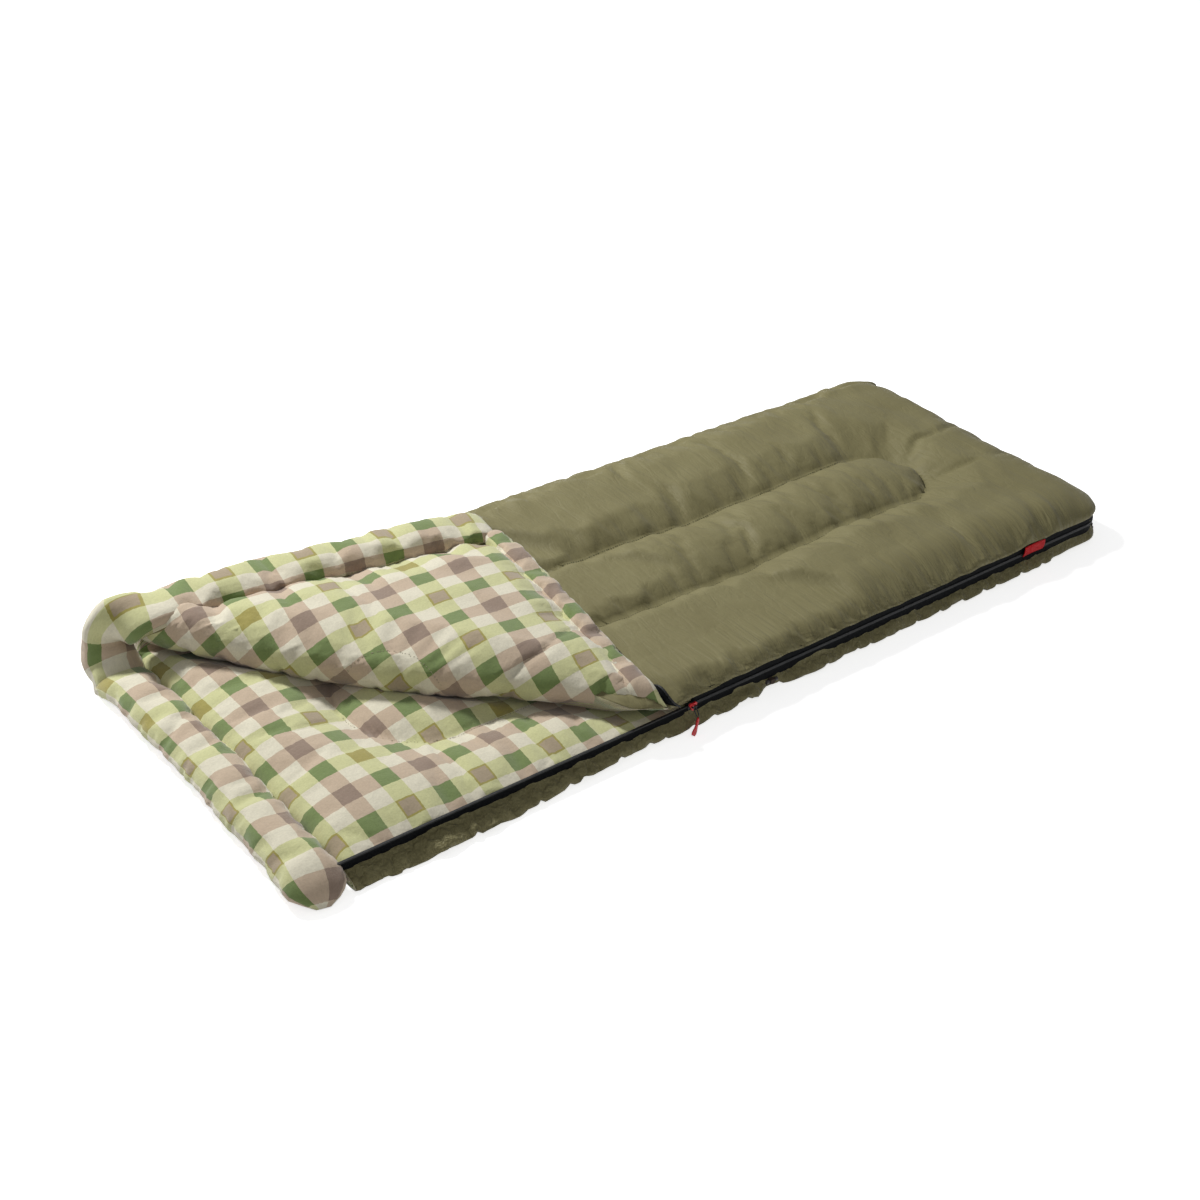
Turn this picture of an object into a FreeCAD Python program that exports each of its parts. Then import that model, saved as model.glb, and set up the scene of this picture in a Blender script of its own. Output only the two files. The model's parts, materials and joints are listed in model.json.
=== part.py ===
import FreeCAD, Part
import math
import os

# Rectangular sleeping bag, in millimetres. +X runs from the mouth to the foot, +Y to the folded
# side and +Z up. The origin is on the floor under the middle of the bag.

# Quilt
bag_length = 1900.0
bag_width = 690.0
lower_loft = 34.0
sleeping_gap = 12.0
upper_loft = 39.0
shell_cloth = 1.0
lining_cloth = 2.0
foot_zip_corner = 60.0
foot_fold_corner = 80.0
mouth_zip_corner = 25.0
mouth_fold_corner = 40.0
bottom_round = 14.0
top_round = 20.0
seam_round = 10.0
end_round = 6.0

# Line of quilting round the middle of the top
quilting_foot_margin = 225.0
quilting_half_wide = 95.0
quilting_middle = -15.0
quilting_deep = 14.0
quilting_spread = 24.0

# Padded band along the mouth
band_width = 85.0
band_seam = 1.0
band_rise = 3.0
band_edge_round = 14.0

# Corner of the upper quilt that folds back
fold_angle = -48.5
fold_start = 108.0
fold_gap = 0.5
fold_play = 0.5
fold_core = 6.0
fold_near_end = 305.0
fold_far_end = 322.0
flap_setback = 55.0
flap_side_play = 1.0
flap_band_drop = 5.0
flap_corner = 30.0

# Zip
tape_thick = 0.8
tape_seat = 4.0
coil_wide = 4.0
coil_high = 2.8
coil_gap = 0.3
zip_mouth_margin = 62.0
zip_foot_run = 560.0
flap_zip_foot_margin = 110.0
flap_zip_mouth_margin = 12.0
stop_long = 6.0
stop_grip = 1.2

# Draft tube behind the zip
draft_wide = 40.0
draft_inset = 12.0
draft_play = 1.5
draft_round = 4.0
draft_lead = 40.0
draft_lag = 10.0

# Slider
slider_place = -174.0
slider_long = 17.0
slider_front_high = 15.0
slider_back_high = 11.6
slider_corner = 2.0
slider_nose = 3.0
slider_plate = 1.8
slider_play = 0.5
slider_slot_play = 0.9
post_long = 5.0
post_high = 3.0
post_inset = 1.0
post_round = 1.2
guard_thick = 3.0
guard_core = 5.5
guard_lobe = 3.6
guard_reach = 5.5
guard_turns = (150.0, 270.0, 30.0)
bail_wire = 1.8
bail_bar = 0.8
bail_reach = 3.4
bail_wide = 8.0

# Pull
link_wire = 1.5
link_inside = 1.3
link_long = 11.0
pull_long = 36.0
pull_thick = 2.0
pull_head = 2.8
pull_head_round = 2.6
pull_neck = 11.0
pull_neck_round = 2.0
pull_end_round = 1.5
pull_wide = 9.0
pull_eye_play = 0.8
pull_floor_play = 0.8

# Bare label, loops and toggles
label_long = 60.0
label_high = 22.0
label_thick = 0.8
label_place = 720.0
label_play = 0.4
label_below_edge = 1.0
loop_thick = 1.4
loop_wide = 9.0
loop_below_tape = 1.0
loop_place = 15.0
foot_loop_turn = 55.0
toggle_long = 26.0
toggle_bar = 2.4
toggle_head = 3.6
toggle_knob = 5.5
toggle_play = 0.5

half_length = bag_length / 2
half_width = bag_width / 2
upper_bottom = lower_loft + sleeping_gap
bag_top = upper_bottom + upper_loft
zip_height = lower_loft + sleeping_gap / 2
turn_y = half_width - bag_top / 2
band_joint = -half_length + band_width

# Zip, worked out from the quilt
chain_middle = -half_width - tape_thick / 2
coil_in = (tape_thick - coil_wide) / 2
coil_out = (tape_thick + coil_wide) / 2
lower_coil_top = zip_height - coil_gap / 2
lower_coil_low = lower_coil_top - coil_high
upper_coil_low = zip_height + coil_gap / 2
upper_coil_top = upper_coil_low + coil_high
lower_tape_low = lower_loft - seam_round - tape_seat
upper_tape_top = upper_bottom + seam_round + tape_seat
zip_start = -half_length + zip_mouth_margin
channel = coil_wide / 2 + slider_play
slider_face = chain_middle - channel - slider_plate
slider_back_face = chain_middle + channel + slider_plate
guard_face = slider_face - guard_thick
bail_y = guard_face - bail_reach
link_radius = link_inside + link_wire / 2
link_low = zip_height - link_long - link_radius
pull_corner = math.hypot(pull_long, pull_wide / 2)
pull_drop = (link_low - pull_floor_play) / pull_corner
pull_lean = math.degrees(math.acos(pull_drop) + math.atan2(pull_wide / 2, pull_long))

# Loops and toggles, worked out from the quilt
loop_high = lower_tape_low - loop_below_tape
loop_low = loop_high - 2 * (loop_thick + toggle_bar + toggle_play)
loop_out = 2 * (loop_thick + toggle_bar + toggle_play)
toggle_out = loop_thick + toggle_bar + toggle_play
toggle_height = loop_high - toggle_out

# Fold line, from its start where the far side begins to turn, worked out from the quilt
UP = FreeCAD.Vector(0, 0, 1)
ALONG = FreeCAD.Vector(math.cos(math.radians(fold_angle)), math.sin(math.radians(fold_angle)), 0)
ACROSS = FreeCAD.Vector(-ALONG.y, ALONG.x, 0)
fold_z = bag_top + fold_gap
fold_radius = fold_z - upper_bottom
fold_offset = ACROSS.x * (fold_start - half_length) + ACROSS.y * turn_y
FOLD_BASE = FreeCAD.Vector(ACROSS.x * fold_offset, ACROSS.y * fold_offset, fold_z)
flap_mouth = -half_length + flap_setback
flap_band_joint = flap_mouth + band_width
fold_near_x = (fold_offset + half_width * ACROSS.y) / ACROSS.x
flap_zip_start = flap_mouth + flap_corner + flap_zip_mouth_margin
flap_zip_end = fold_near_x - flap_zip_foot_margin

# Reach of a cutting block, how far a cut runs past a face, and when two lengths count as one
FAR = 3000.0
PAST = 1.0
SAME = 0.01


def vec(x, y, z):
    return FreeCAD.Vector(x, y, z)


def box(x0, x1, y0, y1, z0, z1):
    return Part.makeBox(x1 - x0, y1 - y0, z1 - z0, vec(x0, y0, z0))


def line(a, b):
    return Part.LineSegment(a, b).toShape()


def arc(centre, radius, start, end, place):
    """Arc in a plane. place turns the two plane coordinates into a point."""
    points = []
    for angle in (start, (start + end) / 2, end):
        a = math.radians(angle)
        points.append(place(centre[0] + radius * math.cos(a), centre[1] + radius * math.sin(a)))
    return Part.Arc(points[0], points[1], points[2]).toShape()


def rounded_face(corners, place):
    """Face of a polygon with corners (u, v, radius)."""
    count = len(corners)
    trims = []
    for i, here in enumerate(corners):
        before = corners[i - 1]
        after = corners[(i + 1) % count]
        din = vec(here[0] - before[0], here[1] - before[1], 0).normalize()
        dout = vec(after[0] - here[0], after[1] - here[1], 0).normalize()
        turn = math.atan2(din.x * dout.y - din.y * dout.x, din.dot(dout))
        side = 1 if turn > 0 else -1
        cut = here[2] * math.tan(abs(turn) / 2)
        first = (here[0] - din.x * cut, here[1] - din.y * cut)
        last = (here[0] + dout.x * cut, here[1] + dout.y * cut)
        centre = (first[0] - din.y * here[2] * side, first[1] + din.x * here[2] * side)
        trims.append((first, last, centre, here[2], turn))
    edges = []
    for i in range(count):
        first, last, centre, radius, turn = trims[i]
        if radius > 0:
            start = math.degrees(math.atan2(first[1] - centre[1], first[0] - centre[0]))
            edges.append(arc(centre, radius, start, start + math.degrees(turn), place))
        following = trims[(i + 1) % count][0]
        if math.hypot(following[0] - last[0], following[1] - last[1]) > SAME:
            edges.append(line(place(last[0], last[1]), place(following[0], following[1])))
    return Part.Face(Part.Wire(edges))


def plan(corners, z0, z1):
    """Upright solid with a rounded plan outline."""
    return rounded_face(corners, lambda u, v: vec(u, v, z0)).extrude(vec(0, 0, z1 - z0))


def side_profile(skin, lining, stretch):
    """The quilt folded along its far side: a C in section, run along the bag."""
    near = -half_width + skin
    top = bag_top - skin
    low = lower_loft + stretch["rise"] - lining
    high = upper_bottom + lining
    edge_round = stretch["edge"]
    gap_middle = (low + high) / 2
    gap_turn = (high - low) / 2

    def at(u, v):
        return vec(stretch["x0"] - PAST, u, v)

    edges = [
        line(at(near, skin), at(turn_y, skin)),
        arc((turn_y, bag_top / 2), bag_top / 2 - skin, -90, 90, at),
        line(at(turn_y, top), at(near, top)),
        line(at(near, top), at(near, high + edge_round)),
        arc((near + edge_round, high + edge_round), edge_round, 180, 270, at),
        line(at(near + edge_round, high), at(turn_y, high)),
        arc((turn_y, gap_middle), gap_turn, 90, -90, at),
        line(at(turn_y, low), at(near + edge_round, low)),
        arc((near + edge_round, low - edge_round), edge_round, 90, 180, at),
        line(at(near, low - edge_round), at(near, skin)),
    ]
    return Part.Face(Part.Wire(edges)).extrude(vec(stretch["x1"] - stretch["x0"] + 2 * PAST, 0, 0))


def rim(body, height):
    """Edges of a body that lie flat at a height."""
    return [edge for edge in body.Edges
            if abs(edge.BoundBox.ZMin - height) < SAME and edge.BoundBox.ZLength < SAME]


def pillow(skin):
    """The bag's whole outline, bevelled under its lower rim and rounded over along its upper one."""
    corners = [
        (-half_length + skin, -half_width + skin, mouth_zip_corner - skin),
        (half_length - skin, -half_width + skin, foot_zip_corner - skin),
        (half_length - skin, half_width - skin, foot_fold_corner - skin),
        (-half_length + skin, half_width - skin, mouth_fold_corner - skin),
    ]
    body = plan(corners, skin, bag_top - skin)
    body = body.makeChamfer(bottom_round - skin, rim(body, skin))
    return body.makeFillet(top_round - skin, rim(body, bag_top - skin))


def seam_block(skin, stretch):
    """Side view of a stretch of quilt, rounded over where it ends at a cross seam."""
    ends = []
    for x, outward in ((stretch["x0"], -1), (stretch["x1"], 1)):
        if abs(x) > half_length - PAST:
            ends.append((x + outward * PAST, 0, 0))
        else:
            ends.append((x - outward * skin, stretch["low"] - skin, stretch["high"] - skin))
    first, last = ends
    corners = [
        (first[0], skin, first[1]),
        (last[0], skin, last[1]),
        (last[0], bag_top - skin, last[2]),
        (first[0], bag_top - skin, first[2]),
    ]
    face = rounded_face(corners, lambda u, v: vec(u, half_width + PAST, v))
    return face.extrude(vec(0, -bag_width - 2 * PAST, 0))


def quilting_face(side, skin, place):
    """Section of the hollow along a line of quilting, inside the shell by so much."""
    top = bag_top - skin
    corners = [
        (side - quilting_spread, bag_top + PAST),
        (side - quilting_spread, top),
        (side, top - quilting_deep),
        (side + quilting_spread, top),
        (side + quilting_spread, bag_top + PAST),
    ]
    return Part.Face(Part.makePolygon([place(u, v) for u, v in corners + corners[:1]]))


def quilting(skin):
    """Hollow that the quilting pulls into the top: two rails that meet in a half circle."""
    end = vec(half_length - quilting_foot_margin - quilting_half_wide, quilting_middle, 0)
    hollow = quilting_face(quilting_half_wide, skin, lambda u, v: end + vec(0, -u, v))
    hollow = hollow.revolve(end, UP, 180)
    for side in (-quilting_half_wide, quilting_half_wide):
        face = quilting_face(side, skin, lambda u, v: end + vec(0, u, v))
        hollow = hollow.fuse(face.extrude(vec(-half_length - end.x, 0, 0)))
    return hollow


def quilt(skin, lining, stretch):
    """A stretch of the folded quilt, inside its shell and its lining by so much."""
    body = pillow(skin).common(seam_block(skin, stretch))
    return body.common(side_profile(skin, lining, stretch))


def main_layers():
    """Shell, filling and lining of the quilt, seated face to face."""
    stretch = {
        "x0": band_joint + band_seam / 2,
        "x1": half_length,
        "rise": 0,
        "low": end_round,
        "high": end_round,
        "edge": seam_round,
    }
    whole = quilt(0, 0, stretch).cut(quilting(0))
    inside = quilt(shell_cloth, 0, stretch).cut(quilting(shell_cloth))
    core = quilt(shell_cloth, lining_cloth, stretch).cut(quilting(shell_cloth))
    return {"shell": whole.cut(inside), "fill": core, "lining": inside.cut(core)}


def band_layers():
    """The mouth band has the lining wrapped all round its filling."""
    stretch = {
        "x0": -half_length,
        "x1": band_joint - band_seam / 2,
        "rise": band_rise,
        "low": bottom_round,
        "high": top_round,
        "edge": band_edge_round,
    }
    core = quilt(lining_cloth, lining_cloth, stretch)
    return {"cover": quilt(0, 0, stretch).cut(core), "fill": core}


def fold_rod(radius, length=FAR, middle=0):
    """Round bar along the fold line, with the seam of its surface on top."""
    rod = Part.makeCylinder(radius, length, vec(0, 0, -length / 2))
    turn = FreeCAD.Rotation(UP, vec(0, 0, 0), ALONG, "ZXY")
    rod.Placement = FreeCAD.Placement(FOLD_BASE + ALONG * middle, turn)
    return rod


def mouth_side(low):
    """Everything above a height on the mouth side of the fold line."""
    block = Part.makeBox(FAR, FAR, FAR, vec(-FAR / 2, -FAR, 0))
    block.rotate(vec(0, 0, 0), UP, fold_angle)
    block.translate(vec(FOLD_BASE.x, FOLD_BASE.y, low))
    return block


def lower_part(shape):
    return shape.common(box(-FAR, FAR, -FAR, turn_y, -PAST, zip_height))


def side_part(shape):
    """The turn of the quilt along the far side, clear of the bend in the folded corner."""
    block = box(-FAR, FAR, turn_y, FAR, -PAST, FAR)
    return shape.common(block).cut(fold_rod(fold_radius + fold_play))


def upper_part(shape):
    """The upper quilt that stays down, hollowed at its edge for the bend."""
    block = shape.common(box(-FAR, FAR, -FAR, turn_y, zip_height, FAR))
    return block.cut(mouth_side(zip_height)).cut(fold_rod(fold_radius + fold_play))


def flap_quilt(skin, lining, x0, x1, drop):
    """The corner that folds back, as it lies when it is closed."""
    near = -half_width + skin
    far = turn_y - flap_side_play
    at_mouth = x0 < flap_mouth + PAST
    low = upper_bottom - drop + lining
    corners = [
        (x0 + skin, near, flap_corner - skin if at_mouth else 0),
        (x1, near, 0),
        (x1, far, 0),
        (x0 + skin, far, 0),
    ]
    slab = plan(corners, low, bag_top - skin)
    section = [
        (near, low, seam_round),
        (far, low, 0),
        (far, bag_top - skin, 0),
        (near, bag_top - skin, top_round - skin),
    ]
    along = rounded_face(section, lambda u, v: vec(x0 - PAST, u, v))
    along = along.extrude(vec(x1 - x0 + 2 * PAST, 0, 0))
    ends = [
        (x0 + skin, low, seam_round if at_mouth else end_round),
        (x1, low, 0),
        (x1, bag_top - skin, 0),
        (x0 + skin, bag_top - skin, top_round - skin if at_mouth else end_round),
    ]
    across = rounded_face(ends, lambda u, v: vec(u, half_width, v)).extrude(vec(0, -bag_width, 0))
    return slab.common(along).common(across)


def flap_part(shape):
    """Trims a piece of the corner at the fold line and lays it back over the bag."""
    part = shape.common(mouth_side(0)).cut(fold_rod(fold_radius + fold_play))
    return turned_back(part)


def turned_back(shape):
    moved = shape.copy()
    moved.rotate(FOLD_BASE, ALONG, 180)
    return moved


def flap_layers():
    x0 = flap_band_joint + band_seam / 2
    x1 = fold_near_x
    whole = flap_quilt(0, 0, x0, x1, 0)
    inside = flap_quilt(shell_cloth, 0, x0, x1, 0)
    core = flap_quilt(shell_cloth, lining_cloth, x0, x1, 0)
    return {"shell": whole.cut(inside), "fill": core, "lining": inside.cut(core)}


def flap_band_layers():
    x1 = flap_band_joint - band_seam / 2
    whole = flap_quilt(0, 0, flap_mouth, x1, flap_band_drop)
    core = flap_quilt(lining_cloth, lining_cloth, flap_mouth, x1 - lining_cloth, flap_band_drop)
    return {"cover": whole.cut(core), "fill": core}


def fold_roll():
    """The bend itself: half a thick tube, which turns half as far as the corner does."""
    first = (FOLD_BASE.y - fold_far_end) / -ALONG.y
    last = (FOLD_BASE.y + fold_near_end) / -ALONG.y

    def rod(radius):
        return fold_rod(radius, last - first, (first + last) / 2)

    half = Part.makeBox(FAR, FAR, FAR, vec(-FAR / 2, -FAR, -FAR / 2))
    half.rotate(vec(0, 0, 0), UP, fold_angle)
    half.translate(FOLD_BASE)
    under_lining = rod(fold_radius - lining_cloth)
    over_shell = rod(fold_core + shell_cloth)
    return {
        "lining": rod(fold_radius).cut(under_lining).common(half),
        "fill": under_lining.cut(over_shell).common(half),
        "shell": over_shell.cut(rod(fold_core)).common(half),
    }


def zip_strip(inner, outer, z0, z1, x0):
    """Upright strip that follows the zip, between two offsets from the bag's wall."""
    end = -half_width + zip_foot_run
    solids = []
    for offset, extra in ((outer, 0), (inner, PAST)):
        near = -half_width - offset
        foot = half_length + offset
        corners = [
            (x0 - extra, near, 0),
            (foot, near, foot_zip_corner + offset),
            (foot, end + extra, 0),
            (x0 - extra, end + extra, 0),
        ]
        solids.append(plan(corners, z0 - extra, z1 + extra))
    return solids[0].cut(solids[1])


def side_strip(x0, x1, inner, outer, z0, z1):
    """Upright strip along the near side, between two offsets from the bag's wall."""
    return box(x0, x1, -half_width - outer, -half_width - inner, z0, z1)


def flap_zip(inner, outer, z0, z1):
    """Stretch of the upper zip on the folded corner, laid back with it."""
    return turned_back(side_strip(flap_zip_start, flap_zip_end, inner, outer, z0, z1))


def flap_stop():
    """Stop at the mouth end of the folded corner's coil."""
    x0 = flap_zip_start - stop_long
    return side_strip(x0, flap_zip_start, coil_in, coil_out, upper_coil_low, upper_coil_top + stop_grip)


def mouth_stop():
    """Stop at the mouth end of the lower coil."""
    x0 = zip_start - stop_long
    return side_strip(x0, zip_start, coil_in, coil_out, lower_coil_low - stop_grip, lower_coil_top)


def foot_stop():
    """Box that holds both coils together where the zip ends on the foot."""
    end = -half_width + zip_foot_run
    x0 = half_length + coil_in
    x1 = half_length + coil_out
    return box(x0, x1, end, end + stop_long * 2, lower_coil_low - stop_grip, upper_coil_top + stop_grip)


def draft_tube(x0, x1):
    """Padded tube under the upper quilt, just behind the zip."""
    near = -half_width + draft_inset
    bottom = lower_loft + draft_play
    tube = box(x0, x1, near, near + draft_wide, bottom, upper_bottom)
    edges = []
    for edge in tube.Edges:
        along = abs(edge.tangentAt(edge.FirstParameter).x) > 0.9
        if along and edge.CenterOfMass.z < bottom + SAME:
            edges.append(edge)
    return tube.makeFillet(draft_round, edges)


def slider_body():
    """Two plates, their lips round the tapes, the post between the lanes, and the bail."""
    wide = slider_front_high / 2
    slim = slider_back_high / 2
    x0 = slider_place - slider_long / 2
    x1 = slider_place + slider_long / 2
    outline = [
        (x0, zip_height - slim, slider_corner),
        (x1, zip_height - slim, slider_corner),
        (x1, zip_height + slim, slider_corner),
        (x0, zip_height + wide, slider_nose),
    ]
    plates = rounded_face(outline, lambda u, v: vec(u, slider_face, v))
    body = plates.extrude(vec(0, slider_back_face - slider_face, 0))
    lane = coil_gap / 2 + coil_high + slider_play
    y0 = chain_middle - channel
    y1 = chain_middle + channel
    body = body.cut(box(x0 - PAST, x1 + PAST, y0, y1, zip_height - lane, zip_height + lane))
    slot = tape_thick / 2 + slider_slot_play
    body = body.cut(box(x0 - PAST, x1 + PAST, chain_middle - slot, chain_middle + slot, 0, bag_top))
    post_x = x0 + post_inset
    post_z = lower_coil_top + slider_play
    post = box(post_x, post_x + post_long, y0, y1, post_z, post_z + post_high)
    edges = [edge for edge in post.Edges if abs(edge.tangentAt(edge.FirstParameter).y) > 0.9]
    body = body.fuse(post.makeFillet(post_round, edges))
    for lug in bail_lugs(slider_face):
        body = body.fuse(lug)
    bar_end = vec(slider_place - bail_wide / 2, bail_y, zip_height)
    return body.fuse(Part.makeCylinder(bail_bar, bail_wide, bar_end, vec(1, 0, 0)))


def bail_lugs(y1):
    """The two square lugs of the bail, from its outer end in to a depth."""
    half = bail_wire / 2
    lugs = []
    for side in (-1, 1):
        x = slider_place + side * bail_wide / 2
        lugs.append(box(x - half, x + half, bail_y - half, y1, zip_height - half, zip_height + half))
    return lugs


def slider_guard():
    """Lobed moulding on the slider's face that pushes loose cloth out of the way."""
    middle = vec(slider_place, guard_face, zip_height)
    inward = vec(0, 1, 0)
    guard = Part.makeCylinder(guard_core, guard_thick, middle, inward)
    for turn in guard_turns:
        out = vec(math.cos(math.radians(turn)), 0, math.sin(math.radians(turn))) * guard_reach
        guard = guard.fuse(Part.makeCylinder(guard_lobe, guard_thick, middle + out, inward))
    guard = guard.removeSplitter()
    for lug in bail_lugs(slider_face + PAST):
        guard = guard.cut(lug)
    return guard


def pull_link():
    """Wire ring that hangs from the bail, with its plane across the zip."""
    top = zip_height
    low = zip_height - link_long

    def at(u, v):
        return vec(slider_place, u, v)

    outer = bail_y - link_radius
    inner = bail_y + link_radius
    path = Part.Wire([
        line(at(outer, top), at(outer, low)),
        arc((bail_y, low), link_radius, 180, 360, at),
        line(at(inner, low), at(inner, top)),
        arc((bail_y, top), link_radius, 0, 180, at),
    ])
    half = link_wire / 2
    x0 = slider_place - half
    x1 = slider_place + half
    flats = [
        vec(x0, outer - half, top),
        vec(x1, outer - half, top),
        vec(x1, outer + half, top),
        vec(x0, outer + half, top),
    ]
    ring = Part.makePolygon(flats + flats[:1])
    return path.makePipeShell([ring], True, True)


def pull_tab():
    """Flat moulded tab, wider at its end, whose eye goes round the bottom of the link."""
    outline = [
        (-pull_head, pull_head, pull_head_round),
        (-pull_head, -pull_neck, pull_neck_round),
        (-pull_wide / 2, -pull_long, pull_end_round),
        (pull_wide / 2, -pull_long, pull_end_round),
        (pull_head, -pull_neck, pull_neck_round),
        (pull_head, pull_head, pull_head_round),
    ]
    y0 = bail_y - pull_thick / 2
    face = rounded_face(outline, lambda u, v: vec(slider_place + u, y0, link_low + v))
    tab = face.extrude(vec(0, pull_thick, 0))
    eye = link_wire / 2 + pull_eye_play
    eye_start = vec(slider_place, y0 - PAST, link_low)
    tab = tab.cut(Part.makeCylinder(eye, pull_thick + 2 * PAST, eye_start, vec(0, 1, 0)))
    tab.rotate(vec(slider_place, bail_y, link_low), vec(0, 1, 0), pull_lean)
    return tab


def side_label():
    """Bare folded label, sewn into the upper quilt's edge and hanging over the zip."""
    top = upper_tape_top - label_below_edge
    out = coil_out + label_play
    x0 = label_place - label_long / 2
    x1 = label_place + label_long / 2
    hang = side_strip(x0, x1, out, out + label_thick, top - label_high, top)
    root = side_strip(x0, x1, tape_thick, out, top - label_thick, top)
    return hang.fuse(root).removeSplitter()


def on_wall(shape, turn):
    """Carries a piece made at the start of the foot corner round the corner by an angle."""
    shape.rotate(vec(half_length - foot_zip_corner, -half_width + foot_zip_corner, 0), UP, turn)
    return shape


def wall_loop(place, turn):
    """Webbing loop sewn to the wall under the zip, made to fit round a toggle."""
    x0 = place - loop_wide / 2
    x1 = place + loop_wide / 2
    ring = side_strip(x0, x1, -loop_thick, loop_out, loop_low, loop_high)
    hole_low = loop_low + loop_thick
    hole_high = loop_high - loop_thick
    hole = side_strip(x0 - PAST, x1 + PAST, loop_thick, loop_out - loop_thick, hole_low, hole_high)
    ring = on_wall(ring.cut(hole), turn)
    return ring.cut(pillow(0))


def toggle(place, turn):
    """Turned bar with a knob at each end, held in its loop and free to turn there."""
    start = vec(place - toggle_long / 2, -half_width - toggle_out, toggle_height)
    bar = Part.makeCylinder(toggle_bar, toggle_long, start, vec(1, 0, 0))
    for x in (0, toggle_long - toggle_knob):
        bar = bar.fuse(Part.makeCylinder(toggle_head, toggle_knob, start + vec(x, 0, 0), vec(1, 0, 0)))
    return on_wall(bar, turn)


os.makedirs("parts", exist_ok=True)

main = main_layers()
band = band_layers()
flap = flap_layers()
flap_band = flap_band_layers()
roll = fold_roll()

pieces = {}
for layer in ("shell", "fill", "lining"):
    pieces["lower_" + layer] = lower_part(main[layer])
    pieces["side_fold_" + layer] = side_part(main[layer])
    pieces["upper_" + layer] = upper_part(main[layer])
    pieces["flap_" + layer] = flap_part(flap[layer])
    pieces["fold_" + layer] = roll[layer]
for layer in ("cover", "fill"):
    pieces["mouth_band_" + layer] = lower_part(band[layer]).fuse(side_part(band[layer]))
    pieces["flap_band_" + layer] = flap_part(flap_band[layer])

pieces["lower_zip_tape"] = zip_strip(0, tape_thick, lower_tape_low, lower_coil_low, zip_start)
pieces["lower_zip_coil"] = zip_strip(coil_in, coil_out, lower_coil_low, lower_coil_top, zip_start)
pieces["upper_zip_tape"] = zip_strip(0, tape_thick, upper_coil_top, upper_tape_top, slider_place)
pieces["upper_zip_coil"] = zip_strip(coil_in, coil_out, upper_coil_low, upper_coil_top, slider_place)
pieces["mouth_stop"] = mouth_stop()
pieces["foot_stop"] = foot_stop()
pieces["draft_tube"] = draft_tube(slider_place - draft_lead, half_length - foot_zip_corner)
pieces["flap_zip_tape"] = flap_zip(0, tape_thick, upper_coil_top, upper_tape_top)
pieces["flap_zip_coil"] = flap_zip(coil_in, coil_out, upper_coil_low, upper_coil_top)
pieces["flap_stop"] = turned_back(flap_stop())
pieces["flap_draft_tube"] = turned_back(draft_tube(flap_band_joint + draft_lag, flap_zip_end))
pieces["slider_body"] = slider_body()
pieces["slider_guard"] = slider_guard()
pieces["pull_link"] = pull_link()
pieces["pull_tab"] = pull_tab()
pieces["side_label"] = side_label()
corner_start = half_length - foot_zip_corner
for name, place, turn in (("side", loop_place, 0), ("foot", corner_start, foot_loop_turn)):
    pieces[name + "_loop"] = wall_loop(place, turn)
    pieces[name + "_toggle"] = toggle(place, turn)

for name, shape in pieces.items():
    shape.removeSplitter().exportStep("parts/" + name + ".step")
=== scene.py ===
import json
import math
import bmesh
import bpy
import numpy as np
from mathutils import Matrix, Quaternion, Vector


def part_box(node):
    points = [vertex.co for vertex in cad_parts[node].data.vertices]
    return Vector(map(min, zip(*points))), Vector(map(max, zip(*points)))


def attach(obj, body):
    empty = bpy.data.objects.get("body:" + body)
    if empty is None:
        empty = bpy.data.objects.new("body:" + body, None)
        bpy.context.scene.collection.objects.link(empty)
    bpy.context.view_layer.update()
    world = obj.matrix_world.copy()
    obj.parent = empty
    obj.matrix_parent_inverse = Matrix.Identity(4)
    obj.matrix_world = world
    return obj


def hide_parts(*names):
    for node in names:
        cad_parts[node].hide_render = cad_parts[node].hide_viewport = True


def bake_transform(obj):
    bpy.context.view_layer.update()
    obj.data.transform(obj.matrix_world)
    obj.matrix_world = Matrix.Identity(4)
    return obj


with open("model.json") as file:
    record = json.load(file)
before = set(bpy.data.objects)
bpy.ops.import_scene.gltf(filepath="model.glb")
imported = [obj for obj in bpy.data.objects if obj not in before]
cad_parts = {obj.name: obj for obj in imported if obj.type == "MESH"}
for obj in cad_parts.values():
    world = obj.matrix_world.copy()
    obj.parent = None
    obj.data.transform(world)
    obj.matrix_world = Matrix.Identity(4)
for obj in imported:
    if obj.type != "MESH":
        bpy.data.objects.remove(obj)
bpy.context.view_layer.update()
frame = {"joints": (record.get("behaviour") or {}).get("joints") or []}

# Quilt of the bag. Olive polyester outside, checked fleece inside and hollow fibre between. It is
# one long quilt folded along the far side, so the lower half, the turn and the upper half are one
# piece. Both cloths are stitched through along a long rounded track, which makes the hollows.
mouth_x, near_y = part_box("mouth_band_cover")[0][:2]
foot_x = -mouth_x
far_y = -near_y
seam_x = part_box("lower_shell")[0][0]
turn_y, lower_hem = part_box("lower_lining")[1][1:]
upper_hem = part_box("upper_lining")[0][2]
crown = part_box("upper_shell")[1][2]
half_high = crown / 2


def joint_named(name):
    """Record of one joint."""
    return next(joint for joint in frame["joints"] if joint["name"] == name)


fold_point = np.array(joint_named("flap_fold")["pos_m"])
fold_along = np.array(joint_named("flap_fold")["axis"])
fold_across = np.array([-fold_along[1], fold_along[0], 0.0])


def ease(t):
    """Smooth step from 0 to 1."""
    t = np.clip(t, 0, 1)
    return t * t * (3 - 2 * t)


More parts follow.
